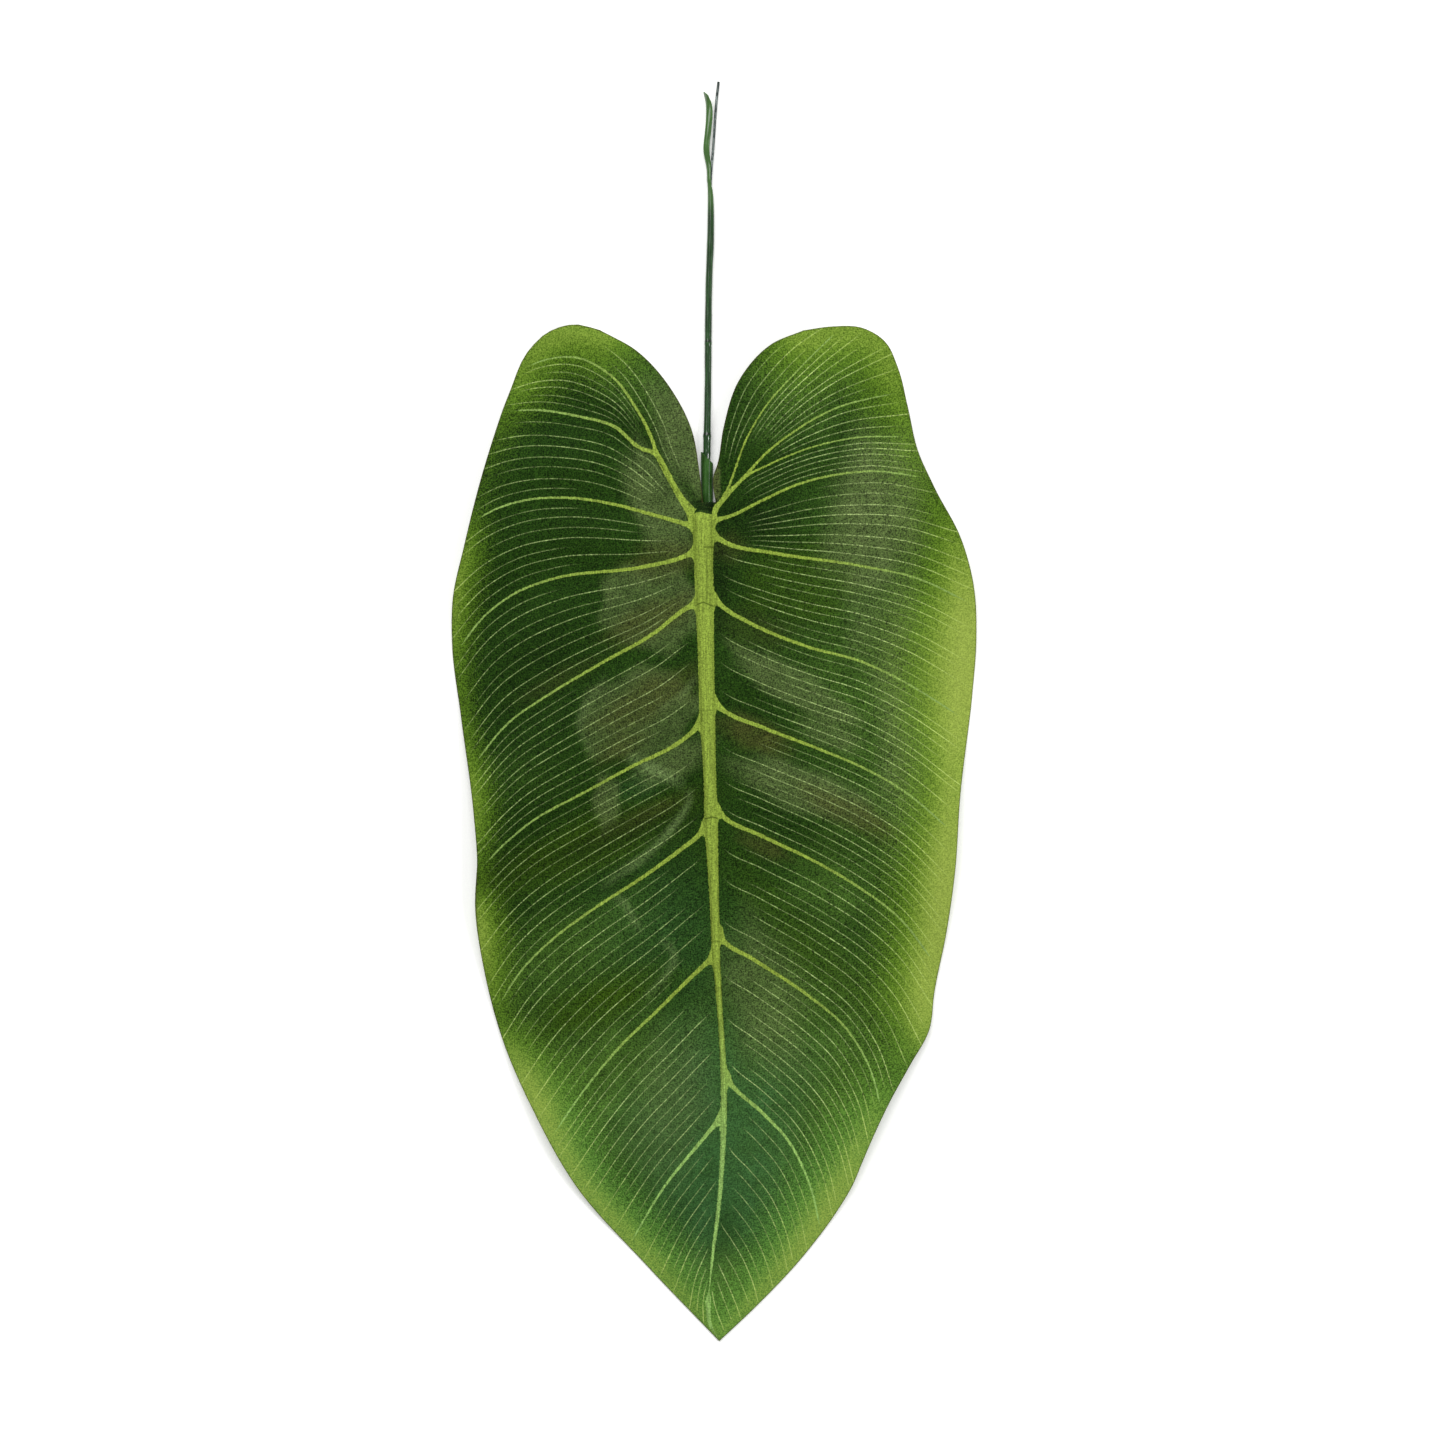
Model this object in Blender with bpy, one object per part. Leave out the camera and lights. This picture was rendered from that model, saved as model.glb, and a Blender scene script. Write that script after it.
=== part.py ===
"""An artificial leaf on a wire stem, lying face up.

A heart-based blade of printed cloth is carried by a moulded rib behind its midrib. The rib's
round sleeve, at the notch, holds a plastic coated stem with a steel core wire. The stem's coat is
slit at the far end, where one strip of it peels away from the bare wire.

The leaf's length runs along Y, with the stem towards +Y and the tip towards -Y. The face is up,
and the leaf rests on the plane Z = 0. Lengths here are in millimetres until the meshes are made.
"""

import math
from collections import namedtuple

import bmesh
import bpy
import numpy as np

MM = 0.001

# The cloth blade
CLOTH = 0.7
COLUMNS = 11
VEIN_RISE = 0.45
VEIN_FOOT = 1.5
VEIN_START = 0.09
VEIN_ROOM = 6.0
PANEL_PUFF = 1.1
PUFF_SPAN = 26.0
DROOP_POWER = 1.7
TROUGH_DEPTH = 3.2
TROUGH_ROOT = 6.66
TROUGH_SHIFT = -0.4
TROUGH_WIDTH = 0.30

# The raised midrib pressed into the cloth, across its half width
RIDGE_ACROSS = (-1.0, -0.62, 0.0, 0.62, 1.0)
RIDGE_SHAPE = (0.0, 0.8, 1.0, 0.8, 0.0)

# The moulded rib and its sleeve
RIB_GAP = 0.45
RIB_SIDE_GAP = 0.35
RIB_BELLY = 1.1
RIB_SIDES = 16
RIB_END = -138.0
SLEEVE_RADIUS = 2.15
SLEEVE_AXIS = 1.95
SLEEVE_BORE = 1.5
SLEEVE_MOUTH = 86.8
SLEEVE_SLANT = 2.0
SLEEVE_END = 71.0
SLEEVE_BLEND = 9.0
BORE_END = 72.6

# The stem
COAT_RADIUS = 1.2
COAT_BORE = 0.8
COAT_SIDES = 12
STRIP_SIDES = (3, 7)
STRIP_CURL = 2.0
WIRE_RADIUS = 0.45
WIRE_SIDES = 8

Vein = namedtuple("Vein", "lift rows route")

# Each vein: how high its end at the margin lies, the mesh rows from it to the next vein, and its
# route from the midrib to the margin. The first is the edge of the lobe beside the stem, the
# second and third (and on the right the fourth) branch from one root, and the last is the tip.
LEFT_VEINS = (
    Vein(2.5, 5, ((-3.8, 71.5), (-5.0, 82.8), (-7.4, 95.9), (-13.9, 109.2), (-26.6, 123.6),
                  (-38.9, 130.5))),
    Vein(0.0, 4, ((-6.3, 69.1), (-11.5, 73.6), (-17.7, 84.5), (-21.8, 94.1), (-29.0, 106.8),
                  (-41.3, 118.5), (-56.4, 121.1), (-67.1, 115.8))),
    Vein(1.5, 3, ((-7.5, 66.7), (-12.2, 72.9), (-18.3, 83.9), (-27.6, 91.9), (-37.6, 98.6),
                  (-53.3, 102.4), (-72.5, 102.7))),
    Vein(4.5, 3, ((-7.4, 63.3), (-20.4, 67.1), (-35.2, 71.0), (-49.7, 73.0), (-64.3, 72.2),
                  (-76.7, 68.1), (-83.3, 63.3))),
    Vein(0.0, 4, ((-7.4, 54.4), (-12.3, 52.1), (-25.2, 49.2), (-54.7, 45.4), (-66.8, 41.1),
                  (-77.3, 33.8), (-89.2, 18.7))),
    Vein(3.0, 4, ((-6.8, 36.9), (-9.9, 34.8), (-20.4, 26.7), (-38.7, 16.3), (-57.1, 5.3),
                  (-69.5, -3.3), (-84.5, -20.7))),
    Vein(6.0, 4, ((-5.0, -3.9), (-8.1, -7.7), (-13.5, -11.7), (-25.7, -17.7), (-44.1, -27.6),
                  (-62.6, -37.9), (-72.2, -46.0), (-80.8, -55.0))),
    Vein(0.5, 4, ((-3.6, -38.9), (-5.0, -42.0), (-10.5, -46.5), (-22.6, -55.4), (-41.0, -67.4),
                  (-53.7, -76.7), (-65.3, -88.0), (-75.5, -103.4))),
    Vein(3.5, 5, ((-1.2, -83.9), (-7.0, -89.9), (-19.2, -102.0), (-31.4, -113.7),
                  (-41.3, -125.4), (-56.4, -147.0))),
    Vein(0.0, 6, ((1.9, -138.7), (-3.9, -146.3), (-16.3, -161.7), (-29.3, -183.3))),
    Vein(0.0, 0, ((-1.9, -201.8), (-1.4, -208.7), (1.9, -215.9))),
)
RIGHT_VEINS = (
    Vein(2.0, 3, ((0.7, 71.5), (1.9, 85.2), (3.3, 96.9), (8.7, 113.4), (19.7, 125.7),
                  (30.7, 130.5))),
    Vein(1.0, 4, ((-0.1, 69.8), (2.6, 72.9), (4.5, 75.6), (6.3, 79.9), (10.7, 92.1),
                  (17.3, 103.7), (29.0, 117.0), (44.1, 131.7))),
    Vein(0.0, 2, ((-0.1, 68.6), (3.1, 72.2), (5.3, 74.8), (11.5, 81.5), (16.8, 86.1),
                  (28.3, 95.9), (40.6, 103.1), (65.3, 109.9))),
    Vein(1.5, 1, ((-0.1, 67.4), (3.6, 71.3), (12.2, 80.3), (18.7, 84.7), (33.4, 90.7),
                  (48.1, 93.8), (68.8, 94.1))),
    Vein(4.5, 3, ((-0.1, 65.2), (4.6, 66.4), (16.8, 72.2), (29.0, 77.7), (41.3, 80.8),
                  (54.0, 82.1), (73.7, 79.4))),
    Vein(1.5, 4, ((-0.2, 60.2), (4.6, 57.4), (18.7, 54.4), (50.6, 49.7), (68.8, 45.8),
                  (89.3, 36.2))),
    Vein(0.0, 4, ((-0.2, 38.9), (2.6, 36.2), (13.8, 29.5), (32.1, 22.1), (50.6, 17.0),
                  (62.6, 11.5), (87.3, -3.6))),
    Vein(4.5, 4, ((0.9, 2.9), (3.6, 0.2), (16.3, -5.3), (36.9, -13.2), (50.6, -19.0),
                  (62.6, -25.6), (82.8, -42.7))),
    Vein(0.5, 4, ((1.5, -33.4), (3.3, -35.8), (16.3, -42.4), (35.2, -51.5), (49.2, -59.8),
                  (63.3, -70.5), (76.8, -88.3))),
    Vein(4.0, 4, ((1.9, -74.9), (2.9, -77.3), (13.4, -84.4), (31.7, -96.5), (44.6, -107.5),
                  (53.0, -121.1), (58.1, -138.4))),
    Vein(0.0, 7, ((4.3, -124.3), (6.0, -127.1), (16.3, -136.7), (25.2, -146.3), (33.1, -162.7),
                  (36.9, -178.9))),
    Vein(0.0, 0, ((-1.9, -201.8), (-1.4, -208.7), (1.9, -215.9))),
)

# The cut outline, from the top of each lobe round the outer margin to the tip
LEFT_OUTLINE = (
    (-38.9, 130.5), (-47.5, 132.6), (-57.1, 129.8), (-63.6, 123.6), (-70.1, 109.2), (-77.0, 88.7),
    (-85.6, 55.7), (-89.3, 39.3), (-89.7, 22.8), (-86.6, -1.9), (-82.1, -34.8), (-80.8, -50.9),
    (-81.3, -67.7), (-78.7, -88.3), (-72.2, -113.0), (-61.2, -137.7), (-47.2, -162.4),
    (-21.8, -191.2), (1.9, -215.9),
)
RIGHT_OUTLINE = (
    (30.7, 130.5), (40.6, 131.9), (50.9, 131.5), (58.5, 127.1), (63.3, 117.5), (66.4, 105.1),
    (70.1, 88.7), (75.6, 76.3), (84.5, 59.5), (89.0, 43.4), (90.0, 24.5), (88.7, 6.3),
    (84.2, -30.7), (82.5, -55.4), (79.7, -76.0), (75.6, -96.5), (73.9, -108.9), (67.1, -121.2),
    (60.2, -133.6), (54.4, -145.9), (50.9, -154.2), (47.5, -162.4), (42.7, -170.6),
    (30.4, -187.1), (14.9, -203.6), (1.9, -215.9),
)

# The midrib down the leaf: its place along Y, the middle in X and half its width
MIDRIB = (
    (71.5, -1.5, 2.2), (68.8, -3.3, 3.3), (63.3, -3.5, 3.5), (54.4, -3.5, 3.3), (38.2, -3.1, 3.1),
    (17.7, -2.6, 2.75), (-0.2, -2.2, 2.65), (-20.1, -1.4, 2.15), (-36.5, -0.9, 2.2),
    (-64.6, 0.2, 1.6), (-80.1, 0.7, 1.35), (-98.9, 1.9, 0.95), (-123.0, 3.3, 1.0),
    (-140.1, 3.4, 1.0), (-153.8, 2.9, 0.8), (-167.5, 1.9, 0.7), (-184.7, -0.2, 0.5),
    (-201.8, -1.9, 0.0),
)
# The cloth's underside along the midrib's foot, and how far the midrib stands up from it
ARCH = ((71.5, 4.75), (40.0, 6.6), (-20.0, 8.6), (-90.0, 8.2), (-150.0, 5.0), (-201.8, 0.8))
RIDGE = ((71.5, 0.0), (67.5, 1.35), (40.0, 1.6), (-40.0, 1.2), (-120.0, 0.7), (-201.8, 0.0))

# Routes in X, Y and Z: the stem's coat up to the slit, the peeled strip and the wire beyond it
COAT_ROUTE = (
    (-2.3, 73.4, 1.95), (-2.35, 88.7, 1.95), (-2.2, 98.0, 1.8), (-2.0, 110.0, 1.5),
    (-1.9, 127.0, 1.3), (-1.6, 148.0, 1.25), (-1.05, 163.0, 1.25), (-1.0, 173.0, 1.25),
    (-1.2, 181.0, 1.25),
)
STRIP_ROUTE = (
    (-2.0, 187.5, 1.8), (-2.2, 192.6, 2.1), (-1.75, 198.0, 2.4), (-1.4, 203.0, 2.2),
    (-1.7, 207.0, 1.8), (-2.6, 210.2, 1.7), (-3.4, 212.0, 2.1),
)
WIRE_ROUTE = (
    (-0.85, 185.5, 1.2), (-0.45, 190.0, 1.15), (0.0, 196.0, 1.0), (0.5, 203.6, 0.85),
    (1.0, 210.0, 0.7), (1.65, 215.9, 0.6),
)

CLOTH_COLOUR = (0.050, 0.120, 0.022, 1.0)
RIB_COLOUR = (0.058, 0.150, 0.040, 1.0)
COAT_COLOUR = (0.050, 0.160, 0.055, 1.0)
WIRE_COLOUR = (0.170, 0.185, 0.180, 1.0)


def hermite(knots, values, at):
    """Values read at any place from a smooth curve through the values at the knots."""
    knots, values, at = (np.asarray(part, float) for part in (knots, values, at))
    flat = values.reshape(len(knots), -1)
    gaps = np.diff(knots)[:, None]
    steps = np.diff(flat, axis=0) / gaps
    slopes = np.concatenate((steps[:1], steps[:1], steps[1:]))
    slopes[1:-1] = (steps[:-1] * gaps[1:] + steps[1:] * gaps[:-1]) / (gaps[:-1] + gaps[1:])
    span = np.clip(np.searchsorted(knots, at, side="right") - 1, 0, len(gaps) - 1)
    gap = gaps[span]
    u = (at[..., None] - knots[span][..., None]) / gap
    start = (2 * u**3 - 3 * u**2 + 1) * flat[span] + (u**3 - 2 * u**2 + u) * gap * slopes[span]
    finish = (3 * u**2 - 2 * u**3) * flat[span + 1] + (u**3 - u**2) * gap * slopes[span + 1]
    return (start + finish).reshape(at.shape + values.shape[1:])


def along(points, fractions):
    """Points at fractions of the length of a smooth curve through hand-picked points."""
    points = np.asarray(points, float)
    chords = np.linalg.norm(np.diff(points, axis=0), axis=1)
    knots = np.concatenate(([0.0], np.cumsum(chords)))
    return hermite(knots, points, np.asarray(fractions) * knots[-1])


def down_leaf(table, y):
    """One or more values at places down the leaf, from rows that start with their place in Y."""
    rows = np.asarray(table, float)[::-1]
    values = rows[:, 1] if rows.shape[1] == 2 else rows[:, 1:]
    return hermite(rows[:, 0], values, np.clip(y, rows[0, 0], rows[-1, 0]))


def rib_edge(side, y):
    """The edge of the midrib on one side, -1 for the left and 1 for the right."""
    middle, half = np.moveaxis(down_leaf(MIDRIB, y), -1, 0)
    return np.stack((middle + side * half, np.asarray(y, float)), axis=-1)


def side_surface(side, veins, outline):
    """Rows of points over one half of the blade's underside, from the notch to the tip.

    Each row runs from the midrib's edge to the margin. Rows follow the veins, and the rows
    between two veins blend from one to the other and end on the midrib's edge and the outline.
    """
    across = np.linspace(0.0, 1.0, COLUMNS + 1)
    margin_fractions = np.linspace(0.0, 1.0, 2000)
    margin = along(outline, margin_fractions)
    roots = np.array([vein.route[0][1] for vein in veins])
    ends, lines = [], []
    for vein, root in zip(veins, roots):
        reach = np.linalg.norm(margin - np.array(vein.route[-1]), axis=1)
        ends.append(margin_fractions[reach.argmin()])
        route = [tuple(rib_edge(side, root)), *vein.route[1:-1], tuple(margin[reach.argmin()])]
        lines.append(along(route, across))
    lifts = np.array([vein.lift for vein in veins])
    numbers = np.arange(len(veins))
    spreads = np.linalg.norm(np.diff(lines, axis=0), axis=2)
    rows = []
    for number, vein in enumerate(veins[:-1]):
        foot = np.clip(VEIN_FOOT / np.maximum(spreads[number], VEIN_FOOT), 0.02, 0.3)
        steps = [foot + (1 - 2 * foot) * step / vein.rows for step in range(vein.rows + 1)]
        rows += [(number, step) for step in (0 * foot, *steps)]
    rows.append((len(veins) - 2, np.ones(COLUMNS + 1)))
    grid = []
    for number, step in rows:
        here, after, spread = lines[number], lines[number + 1], spreads[number]
        root_step, end_step = step[0], step[-1]
        root_y = roots[number] * (1 - root_step) + roots[number + 1] * root_step
        end_at = ends[number] * (1 - end_step) + ends[number + 1] * end_step
        blend = here * (1 - step[:, None]) + after * step[:, None]
        blend += (1 - across[:, None]) * (rib_edge(side, root_y) - blend[0])
        blend += across[:, None] * (along(outline, [end_at])[0] - blend[-1])
        lift = hermite(numbers, lifts, number + step)
        droop = across**DROOP_POWER
        height = down_leaf(ARCH, root_y) * (1 - droop) + lift * droop
        puff = PANEL_PUFF * np.clip(spread / PUFF_SPAN, 0, 1) * np.sin(math.pi * step) ** 2
        height += puff * 4 * across * (1 - across)
        if side < 0:
            off = (number + step - TROUGH_ROOT - TROUGH_SHIFT * across) / TROUGH_WIDTH
            height -= TROUGH_DEPTH * np.exp(-off * off) * np.sin(math.pi * across) ** 0.5
        if 0 < number and not step.any():
            room = np.clip(np.minimum(spread, spreads[number - 1]) / VEIN_ROOM, 0, 1)
            height += VEIN_RISE * (1 - 0.6 * across) * room * np.clip(across / VEIN_START, 0, 1)
        grid.append(np.column_stack((blend, np.maximum(height, 0.0))))
    return np.array(grid)


def cloth_under(y, offset):
    """The height of the cloth's underside over the rib, at a distance from the midrib's middle."""
    half = np.maximum(down_leaf(MIDRIB, y)[..., 1], 0.1)
    share = np.interp(np.abs(offset) / half, RIDGE_ACROSS[2:], RIDGE_SHAPE[2:])
    return down_leaf(ARCH, y) + share * down_leaf(RIDGE, y)


def midrib_rows(left, right):
    """Rows of points across the raised midrib, between the two halves' first columns."""
    across = np.array(RIDGE_ACROSS)
    rows = []
    for start, finish in zip(left, right):
        y = start[1] + (finish[1] - start[1]) * (across + 1) / 2
        middle, half = down_leaf(MIDRIB, y).T
        rows.append(np.column_stack((middle + across * half, y, cloth_under(y, across * half))))
    return np.array(rows)


def add_object(name, mesh_builder, colour, roughness, metallic=0.0):
    """A named object with its own mesh, in millimetres until it is scaled, and its material."""
    builder = bmesh.new()
    mesh_builder(builder)
    bmesh.ops.recalc_face_normals(builder, faces=builder.faces)
    mesh = bpy.data.meshes.new(name)
    builder.to_mesh(mesh)
    builder.free()
    material = bpy.data.materials.new(name)
    material.use_nodes = True
    shader = material.node_tree.nodes["Principled BSDF"]
    shader.inputs["Base Color"].default_value = colour
    shader.inputs["Roughness"].default_value = roughness
    shader.inputs["Metallic"].default_value = metallic
    mesh.materials.append(material)
    mesh.shade_smooth()
    mesh.set_sharp_from_angle(angle=math.radians(50))
    item = bpy.data.objects.new(name, mesh)
    bpy.context.collection.objects.link(item)
    return item


def add_rings(builder, rings):
    """Vertices of each ring of points, joined ring to ring by a closed skin of quads."""
    made = [[builder.verts.new(point) for point in ring] for ring in rings]
    for here, after in zip(made, made[1:]):
        for index in range(len(here)):
            following = (index + 1) % len(here)
            builder.faces.new((here[index], here[following], after[following], after[index]))
    return made


def build_blade(builder):
    """The cloth: its underside as one sheet, thickened straight up with the same triangles."""
    left = side_surface(-1, LEFT_VEINS, LEFT_OUTLINE)
    right = side_surface(1, RIGHT_VEINS, RIGHT_OUTLINE)
    middle = midrib_rows(left[:, 0], right[:, 0])
    points = np.concatenate((left[:, :0:-1], middle, right[:, 1:]), axis=1)
    verts = [[builder.verts.new(point) for point in row] for row in points]
    for here, after in zip(verts, verts[1:]):
        for index in range(len(here) - 1):
            builder.faces.new((here[index], here[index + 1], after[index + 1], after[index]))
    bmesh.ops.remove_doubles(builder, verts=builder.verts, dist=0.02)
    bmesh.ops.triangulate(builder, faces=builder.faces, quad_method="SHORT_EDGE")
    top = bmesh.ops.extrude_face_region(builder, geom=builder.faces[:])["geom"]
    top_verts = [item for item in top if isinstance(item, bmesh.types.BMVert)]
    bmesh.ops.translate(builder, verts=top_verts, vec=(0.0, 0.0, CLOTH))


def rib_section(y):
    """The ring of the moulded rib at one place: the sleeve's round, or the spine's low arch."""
    middle, half = down_leaf(MIDRIB, y)
    angles = np.arange(RIB_SIDES) * 2 * math.pi / RIB_SIDES
    reach = max(half - RIB_SIDE_GAP, 0.45)
    offset = reach * np.cos(angles)
    upper = np.sin(angles) > 0.1
    top = cloth_under(y, offset) - RIB_GAP
    edge = cloth_under(y, reach) - RIB_GAP - 0.3
    bottom = edge - (RIB_BELLY - 0.3) * np.abs(np.sin(angles)) ** 0.6
    spine = np.column_stack((middle + offset, np.full(RIB_SIDES, y), np.where(upper, top, bottom)))
    stem_x = along(COAT_ROUTE, [0.0])[0][0]
    sleeve = sleeve_section(y, stem_x, SLEEVE_RADIUS, angles)
    share = np.clip((SLEEVE_END - y) / SLEEVE_BLEND, 0.0, 1.0)
    share = share * share * (3 - 2 * share)
    return sleeve * (1 - share) + spine * share


def sleeve_section(y, middle, radius, angles):
    """A ring of the sleeve, flat where it meets the surface below, slanted at the mouth."""
    x = radius * np.cos(angles)
    z = np.maximum(SLEEVE_AXIS + radius * np.sin(angles), 0.0)
    return np.column_stack((middle + x, np.full(len(angles), float(y)), z))


def build_rib(builder):
    """The moulded rib: sleeve with a blind bore, then the spine under the cloth's midrib."""
    angles = np.arange(RIB_SIDES) * 2 * math.pi / RIB_SIDES
    stem_x = along(COAT_ROUTE, [0.0])[0][0]
    bore = [sleeve_section(y, stem_x, SLEEVE_BORE, angles) for y in (BORE_END, SLEEVE_MOUTH)]
    sleeve = [sleeve_section(y, stem_x, SLEEVE_RADIUS, angles) for y in (SLEEVE_MOUTH, 80.0)]
    slant = SLEEVE_SLANT * np.cos(angles)
    bore[1][:, 1] -= slant
    sleeve[0][:, 1] -= slant
    blend = [SLEEVE_END - SLEEVE_BLEND * step / 4 for step in range(5)]
    spine = np.linspace(SLEEVE_END - SLEEVE_BLEND, RIB_END, 20)[1:]
    rings = bore + sleeve + [rib_section(y) for y in (*blend, *spine)]
    made = add_rings(builder, rings)
    builder.faces.new(made[0])
    builder.faces.new(made[-1])


def route_frames(centres):
    """At each point of a route: its sideways and upward directions, square to the route."""
    ahead = np.gradient(centres, axis=0)
    ahead /= np.linalg.norm(ahead, axis=1)[:, None]
    sideways = np.cross(ahead, (0.0, 0.0, 1.0))
    sideways /= np.linalg.norm(sideways, axis=1)[:, None]
    return sideways, np.cross(sideways, ahead)


def tube_rings(centres, radius, sides):
    """Rings of a round tube along a route."""
    sideways, upward = route_frames(centres)
    angles = np.arange(sides) * 2 * math.pi / sides
    around = np.cos(angles)[:, None, None] * sideways + np.sin(angles)[:, None, None] * upward
    return np.moveaxis(centres + radius * around, 0, 1)


def build_coat(builder):
    """The coat's tube, open at both ends, with the peeled strip growing from part of its wall."""
    centres = along(COAT_ROUTE, np.linspace(0.0, 1.0, 27))
    outer = add_rings(builder, tube_rings(centres, COAT_RADIUS, COAT_SIDES))
    inner = add_rings(builder, tube_rings(centres, COAT_BORE, COAT_SIDES))
    first, last = STRIP_SIDES
    for index in range(COAT_SIDES):
        following = (index + 1) % COAT_SIDES
        for ring in (0, -1):
            if ring == 0 or not first <= index < last:
                corners = (outer[ring][index], outer[ring][following],
                           inner[ring][following], inner[ring][index])
                builder.faces.new(corners)
    picked = range(first, last + 1)
    rim = [outer[-1][index] for index in picked] + [inner[-1][index] for index in picked][::-1]
    rings = strip_rings(centres[-1], np.array(picked) * 2 * math.pi / COAT_SIDES)
    made = [rim] + [[builder.verts.new(point) for point in ring] for ring in rings]
    for here, after in zip(made, made[1:]):
        for index in range(len(here)):
            following = (index + 1) % len(here)
            builder.faces.new((here[index], here[following], after[following], after[index]))
    builder.faces.new(made[-1])


def strip_rings(coat_end, angles):
    """Sections of the peeled strip: a piece of the coat's wall that opens out towards its end."""
    wall = (COAT_RADIUS - COAT_BORE) / 2
    middle_radius = (COAT_RADIUS + COAT_BORE) / 2
    facing = angles.mean()
    root = coat_end + middle_radius * np.array((math.cos(facing), 0.0, math.sin(facing)))
    centres = along((tuple(root), *STRIP_ROUTE), np.linspace(0.0, 1.0, 13))
    rings = []
    for step, centre in enumerate(centres[1:], 1):
        radius = middle_radius + (STRIP_CURL - middle_radius) * step / (len(centres) - 1)
        turned = facing + (angles - facing) * middle_radius / radius
        spoke = np.column_stack((np.cos(turned), np.zeros(len(turned)), np.sin(turned)))
        hub = centre - radius * np.array((math.cos(facing), 0.0, math.sin(facing)))
        ring = np.concatenate((hub + (radius + wall) * spoke, (hub + (radius - wall) * spoke)[::-1]))
        rings.append(ring)
    rings[-1][:, 1] -= 0.5 * (rings[-1][:, 0] - centres[-1][0])
    return rings


def build_wire(builder):
    """The core wire, from inside the stem's foot to its bare end."""
    inside = along(COAT_ROUTE, np.linspace(0.01, 0.985, 26))
    bare = along((tuple(inside[-1]), *WIRE_ROUTE), np.linspace(0.0, 1.0, 14))[1:]
    centres = np.concatenate((inside, bare))
    made = add_rings(builder, tube_rings(centres, WIRE_RADIUS, WIRE_SIDES))
    builder.faces.new(made[0])
    builder.faces.new(made[-1])


def centre_on_floor(items):
    """Scale the meshes to metres, and set the middle of their common box over the origin."""
    corners = np.array([vert.co for item in items for vert in item.data.vertices])
    low, high = corners.min(axis=0), corners.max(axis=0)
    middle = ((low[0] + high[0]) / 2, (low[1] + high[1]) / 2, low[2])
    for item in items:
        for vert in item.data.vertices:
            vert.co = [(vert.co[axis] - middle[axis]) * MM for axis in range(3)]


def main():
    """Build the four pieces."""
    for item in list(bpy.data.objects):
        bpy.data.objects.remove(item)
    centre_on_floor([
        add_object("blade", build_blade, CLOTH_COLOUR, 0.7),
        add_object("back_rib", build_rib, RIB_COLOUR, 0.4),
        add_object("stem_coat", build_coat, COAT_COLOUR, 0.35),
        add_object("core_wire", build_wire, WIRE_COLOUR, 0.35, metallic=1.0),
    ])


if __name__ == "__main__":
    main()
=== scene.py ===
"""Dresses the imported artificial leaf: a printed cloth blade on a moulded rib and a wire stem.

The leaf lies face up with its stem towards +Y. Sizes here are in millimetres, measured as in the
part's own source, and each finished mesh is scaled to metres and set where the CAD solids are.
"""

import logging
import math
from dataclasses import dataclass, field
from enum import Enum

import bpy
import numpy as np
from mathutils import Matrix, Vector


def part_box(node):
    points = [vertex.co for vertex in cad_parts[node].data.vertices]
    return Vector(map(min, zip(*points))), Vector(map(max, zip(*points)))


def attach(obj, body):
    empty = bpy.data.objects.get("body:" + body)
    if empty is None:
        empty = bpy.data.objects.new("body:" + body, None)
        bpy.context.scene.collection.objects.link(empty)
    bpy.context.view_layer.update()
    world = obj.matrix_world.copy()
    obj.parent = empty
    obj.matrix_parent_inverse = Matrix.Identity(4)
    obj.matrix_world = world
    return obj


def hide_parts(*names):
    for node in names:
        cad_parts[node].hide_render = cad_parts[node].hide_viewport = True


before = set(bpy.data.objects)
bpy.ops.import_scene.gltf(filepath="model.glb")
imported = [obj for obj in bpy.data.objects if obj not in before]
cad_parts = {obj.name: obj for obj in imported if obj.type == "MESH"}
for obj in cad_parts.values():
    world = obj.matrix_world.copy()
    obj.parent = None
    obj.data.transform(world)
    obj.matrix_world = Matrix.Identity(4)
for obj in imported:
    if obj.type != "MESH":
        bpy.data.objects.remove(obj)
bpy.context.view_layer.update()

Socket = bpy.types.NodeSocket
Piece = bpy.types.Object
LOG = logging.getLogger("leaf")
MM = 0.001
BODY = "root"
SMOOTH_BELOW = math.radians(50)


class Side(Enum):
    """The two halves of the blade, seen from above with the stem at the top."""

    LEFT = -1
    RIGHT = 1


class Tone(Enum):
    """Areas of the cloth's colour, from the print and the glue behind it, and from painted sheen,
    reflection and shade.
    """

    GREY_GLUE_AND_SHEEN = "tone_grey_glue_and_sheen"
    BROWN = "tone_brown"
    SHADE = "tone_shade"
    OLIVE_SHADE = "tone_olive_shade"
    COOL_REFLECTION = "tone_cool_reflection"
    LIGHT = "tone_light_print_and_sheen"
    PALE = "tone_pale"


class Ink(Enum):
    """How a fine vein is printed, by its letter in the inks of a main vein."""

    STRONG = "S"
    MEDIUM = "m"
    WEAK = "w"
    OUTER = "o"
    INNER = "i"
    NONE = "n"


@dataclass(frozen=True)
class Vein:
    """A main vein, from the midrib to the margin, and the fine veins up to the next one.

    lift is the margin's height at its end. inks has one letter for each fine vein, and splits is
    the number of mesh rows from one vein to the next. widths are those of its print at its root
    and end, starts is the share of its length before the print, and flare widens its root. The
    first points of a route that another vein shares, its trunk, don't bend the fine veins.
    """

    lift: float
    route: tuple
    inks: str = ""
    splits: int = 2
    widths: tuple = (1.75, 0.5)
    starts: float = 0.0
    flare: float = 1.2
    trunk: int = 0


@dataclass(frozen=True)
class Patch:
    """A soft or clear-edged oval area of a tone on the blade."""

    centre: tuple
    radii: tuple
    turn: float
    strength: float
    softness: float


@dataclass(frozen=True)
class Crease:
    """A thin crease across the midrib: its place, its bend's middle and slope, its ends, and the
    strength of its painted shade.
    """

    place: float
    middle: float
    slope: float
    ends: tuple
    strength: float


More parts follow.
